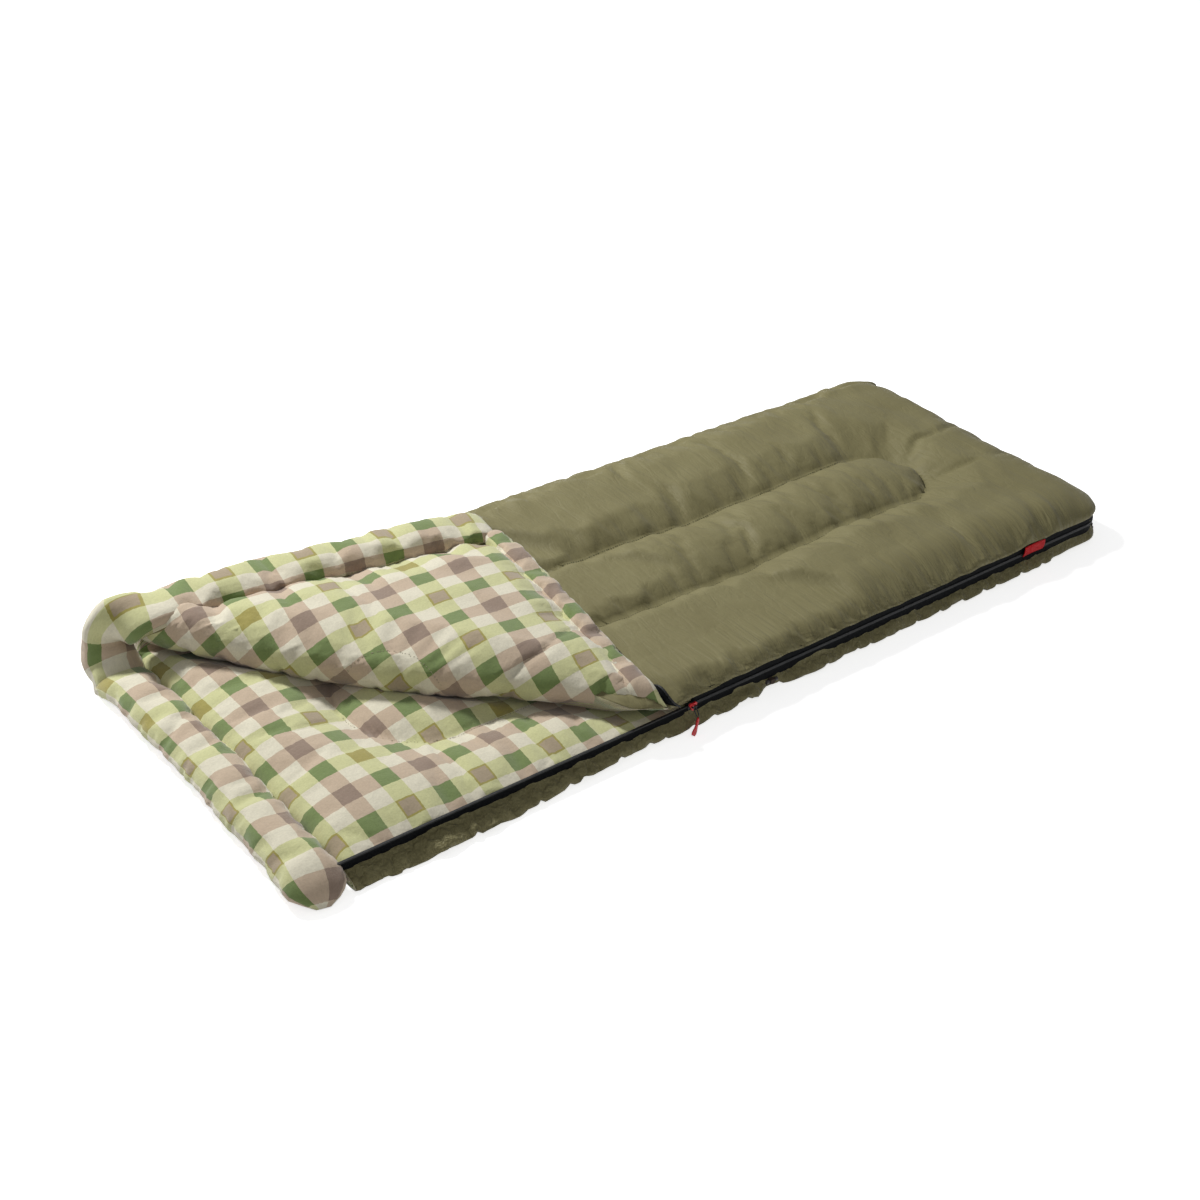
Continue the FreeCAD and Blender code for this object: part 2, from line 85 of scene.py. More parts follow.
def mottle(u, v, seed):
    """Smooth random relief between -1 and 1, with about one bump to each unit of u and v."""
    table = np.random.default_rng(seed).uniform(-1, 1, (64, 64))
    i = np.floor(u).astype(int)
    j = np.floor(v).astype(int)
    s = ease(u - i)
    t = ease(v - j)
    low = table[i % 64, j % 64] * (1 - s) + table[(i + 1) % 64, j % 64] * s
    high = table[i % 64, (j + 1) % 64] * (1 - s) + table[(i + 1) % 64, (j + 1) % 64] * s
    return low * (1 - t) + high * t


def fold_x(y):
    """Where the fold line crosses a line along the bag."""
    return fold_point[0] - (y - fold_point[1]) * fold_across[1] / fold_across[0]


def along_fold(x, y):
    """Distance along the fold line, towards the slider."""
    return (x - fold_point[0]) * fold_along[0] + (y - fold_point[1]) * fold_along[1]


def past_fold(x, y):
    """Distance from the fold line, positive towards the foot."""
    return (x - fold_point[0]) * fold_across[0] + (y - fold_point[1]) * fold_across[1]


def track(x, y, start, end, middle, half):
    """Distance from a long rounded line of stitching, positive outside it, and place along it."""
    past = x - np.clip(x, start + half, end - half)
    away = y - middle
    reach = np.hypot(past, away)
    turn = np.arctan2(past, np.abs(away))
    run = (x - past) - (end - half) + (turn - np.pi / 2) * half
    return reach - half, np.where(away > 0, 1, -1) * run


def hollow(d, depth, wide):
    """Hollow that a line of stitching pulls into the filling."""
    return -depth * np.exp(-np.abs(d) / wide)


def gathers(d, t, high, wave, reach, seed):
    """Folds that stand square to a line of stitching and die away from it."""
    fade = np.exp(-np.abs(d) / reach) * (1 - np.exp(-np.abs(d) / 0.006))
    return high * fade * mottle(t / wave + 0.6 * mottle(t / 0.09, d / 0.07, seed + 1), d / (3.5 * wave), seed)


def under_flap(x, y):
    """1 where the folded corner lies on the closed part, 0 clear of it."""
    return 1 - ease((past_fold(x, y) - 0.42) / 0.08)


def lies_open(x, y):
    """1 where the lower fleece is open to the air, 0 inside the closed part."""
    return ease((-past_fold(x, y)) / 0.09 + 0.2)


def top_start(y):
    """Where the cloth of the closed part begins, under the roll of the folded corner."""
    x = fold_x(y)
    for _ in range(4):
        x = fold_x(y) + np.interp(along_fold(x, y), [0.02, 0.13], [0.008, 0.050]) / fold_across[0]
    return x


top_track = dict(start=-1.60, end=0.725, middle=-0.015, half=0.095)
low_track = dict(start=-0.67, end=0.80, middle=-0.045, half=0.145)
beside_stitch = 0.0045


def top_relief(x, y):
    """Relief of the olive cloth on top of the closed bag, measured from its crown."""
    d, t = track(x, y, **top_track)
    z = hollow(d, 0.012, 0.024) + hollow(d, 0.010, 0.006) + gathers(d, t, 0.0052, 0.034, 0.055, 3)
    z = z + gathers(y - near_y, x, 0.0075, 0.026, 0.060, 5)
    z = z + gathers(far_y - y, x, 0.0075, 0.036, 0.070, 7)
    z = z + gathers(foot_x - x, y, 0.0060, 0.036, 0.065, 9)
    slant = mottle((x + 0.6 * y) / 0.055, (y - 0.6 * x) / 0.20, 11)
    z = z + 0.0045 * slant * np.abs(slant) ** 0.3
    z = z + 0.0024 * mottle((x - 0.5 * y) / 0.035, (y + 0.5 * x) / 0.12, 13)
    return z + 0.0055 * mottle(x / 0.19, y / 0.10, 15) - 0.004


# Rows of cloth near an edge: how far in they lie on the flat cloth, how far in they lie on the bag
# for the side wall and for the brow of the top, and how much of the full height they have.
edge_in = np.array([0, 3, 6, 10, 14, 19, 25, 32, 40, 48, 57, 66, 75, 84]) * 0.001
wall_out = np.array([0.5, 0.8, 0.8, 0.2, -5, -11, -13, -12, -6, 3, 16, 33, 56, 84]) * 0.001
wall_share = np.array([0, 0.12, 0.24, 0.33, 0.40, 0.52, 0.66, 0.80, 0.90, 0.97, 1, 1, 1, 1])
belly_share = np.array([0, 0, 0, 0.08, 0.2, 0.42, 0.7, 0.9, 1, 0.95, 0.8, 0.55, 0.25, 0])
brow_out = np.array([0.5, 0.8, 0.8, 0, -5, -8, -6, -1, 6, 15, 27, 42, 62, 84]) * 0.001
brow_share = np.array([0, 0.10, 0.20, 0.26, 0.34, 0.45, 0.56, 0.66, 0.75, 0.83, 0.90, 0.95, 0.98, 1])
edges = len(edge_in)
pitch = 0.008
rows_y = int((turn_y - near_y - edge_in[-1]) / pitch)
rows_x = int((foot_x - seam_x - edge_in[-1]) / pitch)
turn_rows = 18
turn_cloth = 0.13
mouth_seam = 0.004
near_round = 0.06
far_round = 0.08


def edge_rows(profile):
    """Places of the rows across the bag, from the near edge to the turn."""
    return np.concatenate([near_y + profile, near_y + edge_in[-1]
                           + (turn_y - near_y - edge_in[-1]) * np.arange(1, rows_y + 1) / rows_y])


def corner_round(x, y, out):
    """Rounds the near foot corner in plan. Rows count in from the foot and from the near edge."""
    x = x.copy()
    y = y.copy()
    inner = np.searchsorted(edge_in, near_round)
    for i in range(inner):
        for j in range(inner):
            ring = min(i, j)
            leg = near_round - edge_in[ring]
            reach = (near_round - edge_in[max(i, j)]) / leg
            turn = math.radians(45 * reach)
            if i > j:
                turn = math.pi / 2 - turn
            size = near_round - out[ring]
            x[-1 - i, j] = foot_x - near_round + size * math.cos(turn)
            y[-1 - i, j] = near_y + near_round - size * math.sin(turn)
    return x, y


def far_corner(x, y):
    """Rounds the far foot corner in plan."""
    a = x - (foot_x - far_round)
    b = y - (far_y - far_round)
    inside = (a > 0) & (b > 0)
    big = np.maximum(a, b)
    small = np.minimum(a, b)
    turn = np.pi / 4 * small / np.where(big > 0, big, 1)
    turn = np.where(b > a, np.pi / 2 - turn, turn)
    return (np.where(inside, foot_x - far_round + big * np.cos(turn), x),
            np.where(inside, far_y - far_round + big * np.sin(turn), y))


def quads_of(index):
    """Four-cornered faces over a grid of points."""
    return np.stack([index[:-1, :-1], index[1:, :-1], index[1:, 1:], index[:-1, 1:]], -1).reshape(-1, 4)


def skin_pair(name, outer, inner, cloth_out, cloth_in, weld, looks):
    """Closed piece from an outer and an inner skin on like grids, sewn together along some edges."""
    n, m = outer.shape[:2]
    first = np.arange(n * m).reshape(n, m)
    second = first + n * m
    edge = {"near": np.s_[:, 0], "last": np.s_[:, -1], "foot": np.s_[-1], "start": np.s_[0]}
    for side in weld:
        second[edge[side]] = first[edge[side]]
    faces = [quads_of(first), quads_of(second)[:, [0, 3, 2, 1]]]
    slots = [np.zeros(len(faces[0]), int), np.ones(len(faces[1]), int)]
    for side, one, two in (("start", first[0], second[0]), ("foot", second[-1], first[-1]),
                           ("near", second[:, 0], first[:, 0]), ("last", first[:, -1], second[:, -1])):
        if side not in weld:
            quads = np.stack([one[:-1], one[1:], two[1:], two[:-1]], -1)
            faces.append(quads)
            slots.append(np.full(len(quads), int(side == "start")))
    points = np.concatenate([outer.reshape(-1, 3), inner.reshape(-1, 3)])
    cloth = np.concatenate([cloth_out.reshape(-1, 2), cloth_in.reshape(-1, 2)])
    return mesh_piece(name, points, np.concatenate(faces), cloth, looks, np.concatenate(slots))


def closed_object(name, mesh):
    """Object from a mesh whose faces are turned outwards."""
    work = bmesh.new()
    work.from_mesh(mesh)
    bmesh.ops.dissolve_degenerate(work, dist=1e-6, edges=work.edges)
    bmesh.ops.recalc_face_normals(work, faces=work.faces)
    work.to_mesh(mesh)
    work.free()
    mesh.shade_smooth()
    made = bpy.data.objects.new(name, mesh)
    bpy.context.collection.objects.link(made)
    return made


def mesh_piece(name, points, faces, cloth, looks, slots=None):
    """Object from points and faces, with the place of each point on its cloth kept beside it."""
    used, back = np.unique(np.array(faces).ravel(), return_inverse=True)
    faces = back.reshape(np.array(faces).shape)
    mesh = bpy.data.meshes.new(name)
    mesh.from_pydata([tuple(p) for p in points[used]], [], [list(dict.fromkeys(f)) for f in faces.tolist()])
    flat = np.zeros((len(used), 3))
    flat[:, :2] = cloth[used]
    mesh.attributes.new("cloth", "FLOAT_VECTOR", "POINT").data.foreach_set("vector", flat.ravel())
    for look in looks:
        mesh.materials.append(look)
    if slots is not None:
        mesh.polygons.foreach_set("material_index", np.asarray(slots, np.int32))
    mesh.validate()
    return closed_object(name, mesh)


def paint(name):
    """New node material with its shader and its tree."""
    look = bpy.data.materials.new(name)
    look.use_nodes = True
    tree = look.node_tree
    return look, tree, tree.nodes["Principled BSDF"]


def node(tree, kind, **values):
    """Adds a node. Names that are sockets are set or linked, the rest are the node's own settings."""
    made = tree.nodes.new("ShaderNode" + kind)
    for key, value in values.items():
        if key[0].islower() and hasattr(made, key):
            setattr(made, key, value)
    for key, value in values.items():
        if key[0].islower() and hasattr(made, key):
            continue
        place = int(key[1:]) if key[0] == "_" else key.replace("_", " ")
        socket = made.inputs[place]
        if isinstance(value, bpy.types.NodeSocket):
            tree.links.new(value, socket)
        else:
            socket.default_value = value
    return made


def tint(red, green, blue):
    """Colour as it is seen, for a shader."""
    return tuple(((c / 255 + 0.055) / 1.055) ** 2.4 for c in (red, green, blue)) + (1,)


def blend_colour(tree, share, one, two):
    """Mixes two colours by a share."""
    made = tree.nodes.new("ShaderNodeMix")
    made.data_type = "RGBA"
    for socket, value in ((0, share), (6, one), (7, two)):
        if isinstance(value, bpy.types.NodeSocket):
            tree.links.new(value, made.inputs[socket])
        else:
            made.inputs[socket].default_value = value
    return made.outputs[2]


def calc(tree, kind, a, b):
    """One step of arithmetic between two sockets or numbers."""
    return node(tree, "Math", operation=kind, _0=a, _1=b).outputs[0]


def stretch(tree, place, shares):
    """Places drawn out, so that a pattern on them runs long one way."""
    return node(tree, "VectorMath", operation="MULTIPLY", _0=place, _1=shares).outputs[0]


def noise(tree, place, scale, detail, **more):
    """Cloudy pattern."""
    return node(tree, "TexNoise", Vector=place, Scale=scale, Detail=detail, **more).outputs["Fac"]


def ribs(tree, place, scale, way, **more):
    """Pattern of soft bands."""
    return node(tree, "TexWave", Vector=place, Scale=scale, bands_direction=way, **more).outputs["Fac"]


def relief(tree, strength, depth, height, below=None):
    """Small relief from a pattern, laid over the one below."""
    made = node(tree, "Bump", Strength=strength, Distance=depth, Height=height)
    if below is not None:
        tree.links.new(below, made.inputs["Normal"])
    return made.outputs[0]


def finish(tree, shader, body, normal=None, **values):
    """Joins colour and relief to the shader, and sets its other values."""
    tree.links.new(body, shader.inputs["Base Color"])
    if normal is not None:
        tree.links.new(normal, shader.inputs["Normal"])
    for key, value in values.items():
        shader.inputs[key.replace("_", " ")].default_value = value


def olive_look(name, pleats):
    """Plain woven polyester with a dull sheen, and creases between the large folds."""
    look, tree, shader = paint(name)
    place = node(tree, "Attribute", attribute_name="cloth").outputs["Vector"]
    soft = noise(tree, place, 9.0, 4.0, Roughness=0.6)
    body = blend_colour(tree, soft, tint(116, 109, 71), tint(137, 131, 92))
    fine = noise(tree, place, 420.0, 2.0)
    body = blend_colour(tree, calc(tree, "MULTIPLY", fine, 0.16), body, tint(84, 78, 50))
    warp = ribs(tree, place, 320.0, "X", Distortion=0.4)
    weft = ribs(tree, place, 320.0, "Y", Distortion=0.4)
    crease = noise(tree, stretch(tree, place, (1.0, 0.28, 1.0)), 46.0, 4.0, Distortion=0.5)
    edge = calc(tree, "ABSOLUTE", calc(tree, "SUBTRACT", crease, 0.5), 0)
    normal = relief(tree, 0.5, 0.005, calc(tree, "POWER", edge, 0.7))
    across = node(tree, "SeparateXYZ", Vector=place).outputs[1]
    hem_v = 2 * turn_y + turn_cloth - near_y
    near_hem = node(tree, "MapRange", Value=across, From_Min=hem_v - 0.10, From_Max=hem_v - 0.01).outputs[0]
    pucker = noise(tree, stretch(tree, place, (1.0, 0.20, 1.0)), 85.0, 2.0, Distortion=0.4)
    normal = relief(tree, 0.9, 0.009, calc(tree, "MULTIPLY", pucker, near_hem), normal)
    normal = relief(tree, 0.25, 0.004, noise(tree, place, 42.0, 3.0, Distortion=0.6), normal)
    normal = relief(tree, 0.25, 0.0004, calc(tree, "MULTIPLY", warp, weft), normal)
    if pleats:
        side = node(tree, "TexCoord").outputs["Object"]
        pleat = noise(tree, stretch(tree, side, (1.0, 1.0, 0.16)), 95.0, 2.0, Distortion=0.35)
        normal = relief(tree, 0.9, 0.010, pleat, normal)
    finish(tree, shader, body, normal, Roughness=0.62, Sheen_Weight=0.08, Sheen_Roughness=0.5,
           Specular_IOR_Level=0.35)
    return look


def fleece_look():
    """Brushed fleece printed with a check of three tones each way, four squares to a repeat."""
    look, tree, shader = paint("check_fleece")
    place = node(tree, "Attribute", attribute_name="cloth").outputs["Vector"]
    stray = node(tree, "TexNoise", Vector=place, Scale=160.0, Detail=2.0)
    stray = node(tree, "VectorMath", operation="MULTIPLY_ADD", _0=stray.outputs["Color"],
                 _1=(0.0022, 0.0022, 0), _2=place)
    parts = node(tree, "SeparateXYZ", Vector=stray.outputs[0])

    def within(value, middle, reach):
        return node(tree, "Math", operation="COMPARE", _0=value, _1=middle, _2=reach).outputs[0]

    def both(a, b, kind="MULTIPLY"):
        return calc(tree, kind, a, b)

    green = []
    taupe = []
    whole = []
    inset = []
    for socket in (parts.outputs[0], parts.outputs[1]):
        count = both(socket, square, "DIVIDE")
        turn = both(count, 4.0, "FLOORED_MODULO")
        green.append(within(turn, 0.5, 0.5))
        taupe.append(within(turn, 2.5, 0.5))
        whole.append(both(count, 0, "FLOOR"))
        inset.append(within(both(count, 0, "FRACT"), 0.5, 0.40))
    body = blend_colour(tree, both(*taupe, "MAXIMUM"), tint(218, 212, 190), tint(192, 172, 148))
    body = blend_colour(tree, both(*taupe), body, tint(144, 124, 108))
    body = blend_colour(tree, both(*green, "MAXIMUM"), body, tint(198, 198, 146))
    crossed = both(both(green[0], taupe[1]), both(green[1], taupe[0]), "MAXIMUM")
    body = blend_colour(tree, crossed, body, tint(114, 132, 76))
    body = blend_colour(tree, both(*green), body, tint(156, 146, 74))
    cell = node(tree, "CombineXYZ", X=whole[0], Y=whole[1]).outputs[0]
    chance = node(tree, "TexWhiteNoise", noise_dimensions="2D", Vector=cell).outputs["Value"]
    chosen = both(chance, 0.25, "GREATER_THAN")
    centre = both(both(*green), both(both(*inset), chosen))
    body = blend_colour(tree, centre, body, tint(164, 148, 122))
    pile = noise(tree, place, 300.0, 4.0, Roughness=0.7)
    light = node(tree, "MapRange", Value=pile, From_Min=0.3, From_Max=0.7, To_Min=0.90, To_Max=1.08)
    shade = node(tree, "VectorMath", operation="SCALE", _0=body, Scale=light.outputs[0])
    normal = relief(tree, 0.5, 0.0022, noise(tree, place, 90.0, 3.0))
    normal = relief(tree, 0.5, 0.0012, pile, normal)
    finish(tree, shader, shade.outputs[0], normal, Roughness=0.95, Sheen_Weight=0.35, Sheen_Roughness=0.6,
           Specular_IOR_Level=0.15)
    return look


square = 0.0342
check_x = 0.852 + square / 2
check_y = 0.305 + square / 2
olive = olive_look("olive_cloth", False)
gathered = olive_look("olive_gathered", True)
fleece = fleece_look()


def settle(grid, held, pressure, slack, cap, away=(0.0, 0.0, 1.0), bend=0.25):
    """Lets a sewn cloth swell and crease by simulation. Held points keep their place."""
    frames = 20
    stiff = 12.0
    n, m = grid.shape[:2]
    away = np.broadcast_to(np.array(away), grid.shape)
    quads = quads_of(np.arange(n * m).reshape(n, m))[:, [0, 3, 2, 1]]
    facing = np.cross(grid[:-1, 1:] - grid[:-1, :-1], grid[1:, :-1] - grid[:-1, :-1])
    if (facing * away[:-1, :-1]).sum() < 0:
        quads = quads[:, ::-1]
    mesh = bpy.data.meshes.new("settling")
    mesh.from_pydata(grid.reshape(-1, 3).tolist(), [], quads.tolist())
    cloth_piece = bpy.data.objects.new("settling", mesh)
    bpy.context.collection.objects.link(cloth_piece)
    group = cloth_piece.vertex_groups.new(name="held")
    flat = held.reshape(-1)
    for level in np.unique(np.round(flat, 1)):
        if level > 0:
            group.add(np.flatnonzero(np.round(flat, 1) == level).tolist(), float(level), "REPLACE")
    made = cloth_piece.modifiers.new("Cloth", "CLOTH")
    made.settings.vertex_group_mass = "held"
    made.settings.pin_stiffness = 8.0
    made.settings.quality = 4
    made.settings.mass = 0.06
    made.settings.air_damping = 1.0
    made.settings.tension_stiffness = stiff
    made.settings.compression_stiffness = stiff
    made.settings.shear_stiffness = stiff / 3
    made.settings.bending_stiffness = bend
    made.settings.tension_damping = 8.0
    made.settings.compression_damping = 8.0
    made.settings.use_pressure = True
    made.settings.uniform_pressure_force = pressure
    made.settings.shrink_min = -slack
    made.settings.effector_weights.gravity = 0.0
    made.collision_settings.use_collision = False
    made.point_cache.frame_start = 1
    made.point_cache.frame_end = frames
    for frame_number in range(1, frames + 1):
        bpy.context.scene.frame_set(frame_number)
    shaped = cloth_piece.evaluated_get(bpy.context.evaluated_depsgraph_get()).to_mesh()
    points = np.zeros(n * m * 3)
    shaped.vertices.foreach_get("co", points)
    move = points.reshape(n, m, 3) - grid
    far = np.linalg.norm(move, axis=2, keepdims=True)
    move = move * np.minimum(1, cap / np.maximum(far, 1e-9))
    cloth_piece.to_mesh_clear()
    bpy.data.objects.remove(cloth_piece)
    bpy.data.meshes.remove(mesh)
    bpy.context.scene.frame_set(1)
    return grid + move


n = rows_x + edges
flat_rows = edges + rows_y
m = 2 * flat_rows + turn_rows
outer, inner = np.zeros((2, n, m, 3))
cloth_out, cloth_in = np.zeros((2, n, m, 2))


def stations(start, profile):
    """Places of the rows along the bag, from the mouth to the foot."""
    x = np.zeros((n, len(start)))
    last = foot_x - edge_in[-1]
    x[:rows_x] = start + (np.arange(rows_x) / rows_x)[:, None] * (last - start)[None, :]
    x[rows_x:] = (foot_x - profile)[::-1, None]
    return x


def lay_half(part, out, share, columns):
    """Lays one half of the quilt, from its zip edge to the turn along the far side."""
    y_line = edge_rows(out)
    y_flat = edge_rows(edge_in)
    start = np.full(flat_rows, seam_x + mouth_seam)
    if part == "top":
        start = np.maximum(top_start(y_flat), seam_x + mouth_seam)
    full_i = np.ones((n, 1))
    full_i[rows_x:, 0] = share[::-1]
    full_j = np.ones((1, flat_rows))
    full_j[0, :edges] = share
    full = np.minimum(full_i, full_j)
    x, y = corner_round(stations(start, out), np.repeat(y_line[None, :], n, 0), out)
    flat_x = stations(start, edge_in)
    flat_y = np.repeat(y_flat[None, :], n, 0)
    in_x, in_y = corner_round(flat_x, flat_y, edge_in)
    if part == "low":
        z = lower_hem * (1 - full)
        wall = np.sin(np.pi * np.clip(z / lower_hem, 0, 1)) * (full > 0)
        pleat = 0.0045 * mottle(flat_x / 0.016, z / 0.02, 21)
        pleat = pleat + 0.003 * mottle(flat_x / 0.05, np.zeros_like(z), 22)
        y = y + np.where((full_j <= full_i) & (full_j < 1), pleat * wall, 0)
        belly = 0.022 * ease((-0.28 - flat_x) / 0.35) + 0.004
        y[:, :edges] = y[:, :edges] - belly[:, :edges] * belly_share[None, :]
        pleat = 0.0045 * mottle(flat_y / 0.016, z / 0.02, 23)
        x = x - np.where(full_i < full_j, pleat * wall, 0)
        d, t = track(in_x, in_y, **low_track)
        puff = 0.012 * (1 - np.exp(-(in_y - near_y) / 0.030)) * (1 - 0.75 * np.exp(-(in_x - seam_x) / 0.012))
        puff = puff + hollow(d, 0.009, 0.024) + hollow(d, 0.006, 0.006)
        puff = puff + gathers(d, t, 0.003, 0.034, 0.05, 31)
        puff = puff + gathers(in_y - near_y, in_x, 0.0035, 0.030, 0.05, 33)
        puff = puff + 0.0018 * mottle((in_x + in_y) / 0.07, (in_y - in_x) / 0.16, 35)
        in_z = lower_hem + puff * lies_open(in_x, in_y) * full_i
        in_z = in_z - 0.016 * np.exp(-(in_x - seam_x - mouth_seam) / 0.007)
        cloth_y = flat_y
    else:
        z = upper_hem + (crown - upper_hem) * full + top_relief(flat_x, flat_y) * full
        clear = 1 - under_flap(flat_x, flat_y)
        z = np.where(z > crown - 0.001, crown - 0.001 + (z - crown + 0.001) * clear, z)
        in_z = np.full_like(z, upper_hem + 0.001)
        in_z[:, 0] = upper_hem
        in_z[-1, :] = upper_hem
        cloth_y = 2 * turn_y + turn_cloth - flat_y
    outer[:, columns] = np.stack([x, y, z], -1)
    inner[:, columns] = np.stack([in_x, in_y, in_z], -1)
    cloth_out[:, columns] = np.stack([flat_x, cloth_y], -1)
    cloth_in[:, columns] = np.stack([in_x + check_x, in_y + check_y], -1)


def lay_turn():
    """Lays the half round along the far side, which joins the two halves."""
    low, top = flat_rows - 1, m - flat_rows
    full = np.ones(n)
    full[rows_x:] = brow_share[::-1]
    rim = 0.006
    for k in range(turn_rows):
        a = -math.pi / 2 + math.pi * (k + 1) / (turn_rows + 1)
        j = flat_rows + k
        mix = 0.5 + 0.5 * math.sin(a)
        x = outer[:, low, 0] * (1 - mix) + outer[:, top, 0] * mix
        flat_x = cloth_out[:, low, 0] * (1 - mix) + cloth_out[:, top, 0] * mix
        swell = 0.004 * mottle(flat_x / 0.10, np.full(n, a) * 0.7, 41)
        swell = swell + 0.0035 * mottle(flat_x / 0.022, np.full(n, a) * 0.5, 43)
        size = rim + (half_high + swell * math.cos(a) - rim) * full
        hem_z = (lower_hem + upper_hem) / 2
        outer[:, j] = np.stack([x, turn_y + size * math.cos(a), half_high + size * math.sin(a)], -1)
        inner[:, j] = np.stack([x, np.full(n, turn_y + rim * math.cos(a)),
                                np.full(n, hem_z + rim * math.sin(a))], -1)
        cloth_out[:, j] = np.stack([flat_x, np.full(n, turn_y + half_high * (a + math.pi / 2))], -1)
        lining_v = turn_y + check_y + rim * (a + math.pi / 2)
        cloth_in[:, j] = np.stack([flat_x + check_x, np.full(n, lining_v)], -1)


def swell_top():
    """The top and the turn swell between their lines of stitching."""
    top = slice(flat_rows - 4, m)
    flat_x = cloth_out[:, top, 0]
    flat_y = np.minimum(2 * turn_y + turn_cloth - cloth_out[:, top, 1], turn_y)
    held = np.zeros(flat_x.shape)
    held[:, :turn_rows + 4] = 0.2
    d, t = track(flat_x, flat_y, **top_track)
    held[np.abs(d) < beside_stitch] = 1
    held[:, :4] = 1
    held[:, -5:] = 1
    held[:2] = 1
    held[-5:] = 1
    swollen = settle(outer[:, top], held, 4.0, 0.030, 0.020, bend=0.12)
    past_hem = 0.006
    brow = swollen[:, -edges:, 1]
    brow[:] = np.maximum(brow, near_y - past_hem)
    toe = swollen[-edges:, :, 0]
    toe[:] = np.minimum(toe, foot_x + past_hem)
    ceiling = crown - 0.001 + 0.05 * (1 - under_flap(flat_x, flat_y))
    swollen[:, :, 2] = np.where(flat_y < turn_y, np.minimum(swollen[:, :, 2], ceiling), swollen[:, :, 2])
    outer[:, top] = swollen


def gather_wall():
    """The side wall is gathered along the zip, and the two loops pull small dents into it."""
    wall = outer[:, :edges - 1]
    held = np.zeros(wall.shape[:2])
    held[:, :4] = 1
    held[:, -2:] = 1
    held[:1] = 1
    held[-20:] = 1
    wall = settle(wall, held, 4.0, 0.05, 0.009, (0.0, -1.0, 0.2))
    wall[:, :, 2] = np.maximum(wall[:, :, 2], 0)
    outer[:, :edges - 1] = wall
    for toggle, depth in (("side_toggle", 1.1), ("foot_toggle", 0.4)):
        low_end, high_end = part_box(toggle)
        spot = np.array([(low_end[0] + high_end[0]) / 2, (low_end[1] + high_end[1]) / 2])
        for k in range(1, edges - 1):
            for line, hem in ((outer[:, k], outer[:, 0, :2]), (outer[-1 - k], outer[-1, :, :2])):
                dent = np.exp(-((hem - spot) ** 2).sum(1) / 0.024 ** 2)[:, None]
                low = (line[:, 2] < lower_hem)[:, None] * (np.abs(hem - line[:, :2]) < 0.03)
                line[:, :2] += (hem - line[:, :2]) * (depth * dent) * low
    span = 26
    for corner in (outer[-span:, -span:], outer[-span:, :span]):
        for _ in range(8):
            even = (corner[:-2, 1:-1] + corner[2:, 1:-1] + corner[1:-1, :-2] + corner[1:-1, 2:]) / 4
            corner[1:-1, 1:-1] += 0.5 * (even - corner[1:-1, 1:-1])


def swell_lining():
    """The open part of the lower fleece swells between its seams."""
    shown = int(np.argmax(inner[:, 0, 0] > -0.10))
    part = inner[:shown, :flat_rows]
    held = np.zeros(part.shape[:2])
    d, t = track(part[:, :, 0], part[:, :, 1], **low_track)
    held[np.abs(d) < beside_stitch] = 1
    held[:, :2] = 1
    held[:, -2:] = 1
    held[:2] = 1
    held[-3:] = 1
    lofty = lies_open(part[:, :, 0], part[:, :, 1])
    part = settle(part, held, 4.0, 0.022, 0.018)
    part[:, :, 2] = np.clip(part[:, :, 2], lower_hem - 0.024, lower_hem + 0.036 * lofty)
    inner[:shown, :flat_rows] = part


lay_half("low", wall_out, wall_share, np.arange(flat_rows))
lay_half("top", brow_out, brow_share, m - 1 - np.arange(flat_rows))
lay_turn()
for grid in (outer, inner):
    grid[:, :, 0], grid[:, :, 1] = far_corner(grid[:, :, 0], grid[:, :, 1])
swell_top()
gather_wall()
swell_lining()
outer[-1] = inner[-1]
quilt = skin_pair("bag_quilt", outer, inner, cloth_out, cloth_in, ("near", "last", "foot"),
                  (olive, fleece, gathered))
for face in quilt.data.polygons:
    spot = face.center
    by_edge = spot.y < near_y + 0.02 or spot.x > foot_x - 0.02
    if face.material_index == 0 and 0.002 < spot.z < lower_hem and by_edge:
        face.material_index = 2
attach(quilt, "bag")
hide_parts("lower_shell", "lower_fill", "lower_lining", "side_fold_shell", "side_fold_fill",
            "side_fold_lining", "upper_shell", "upper_fill", "upper_lining")

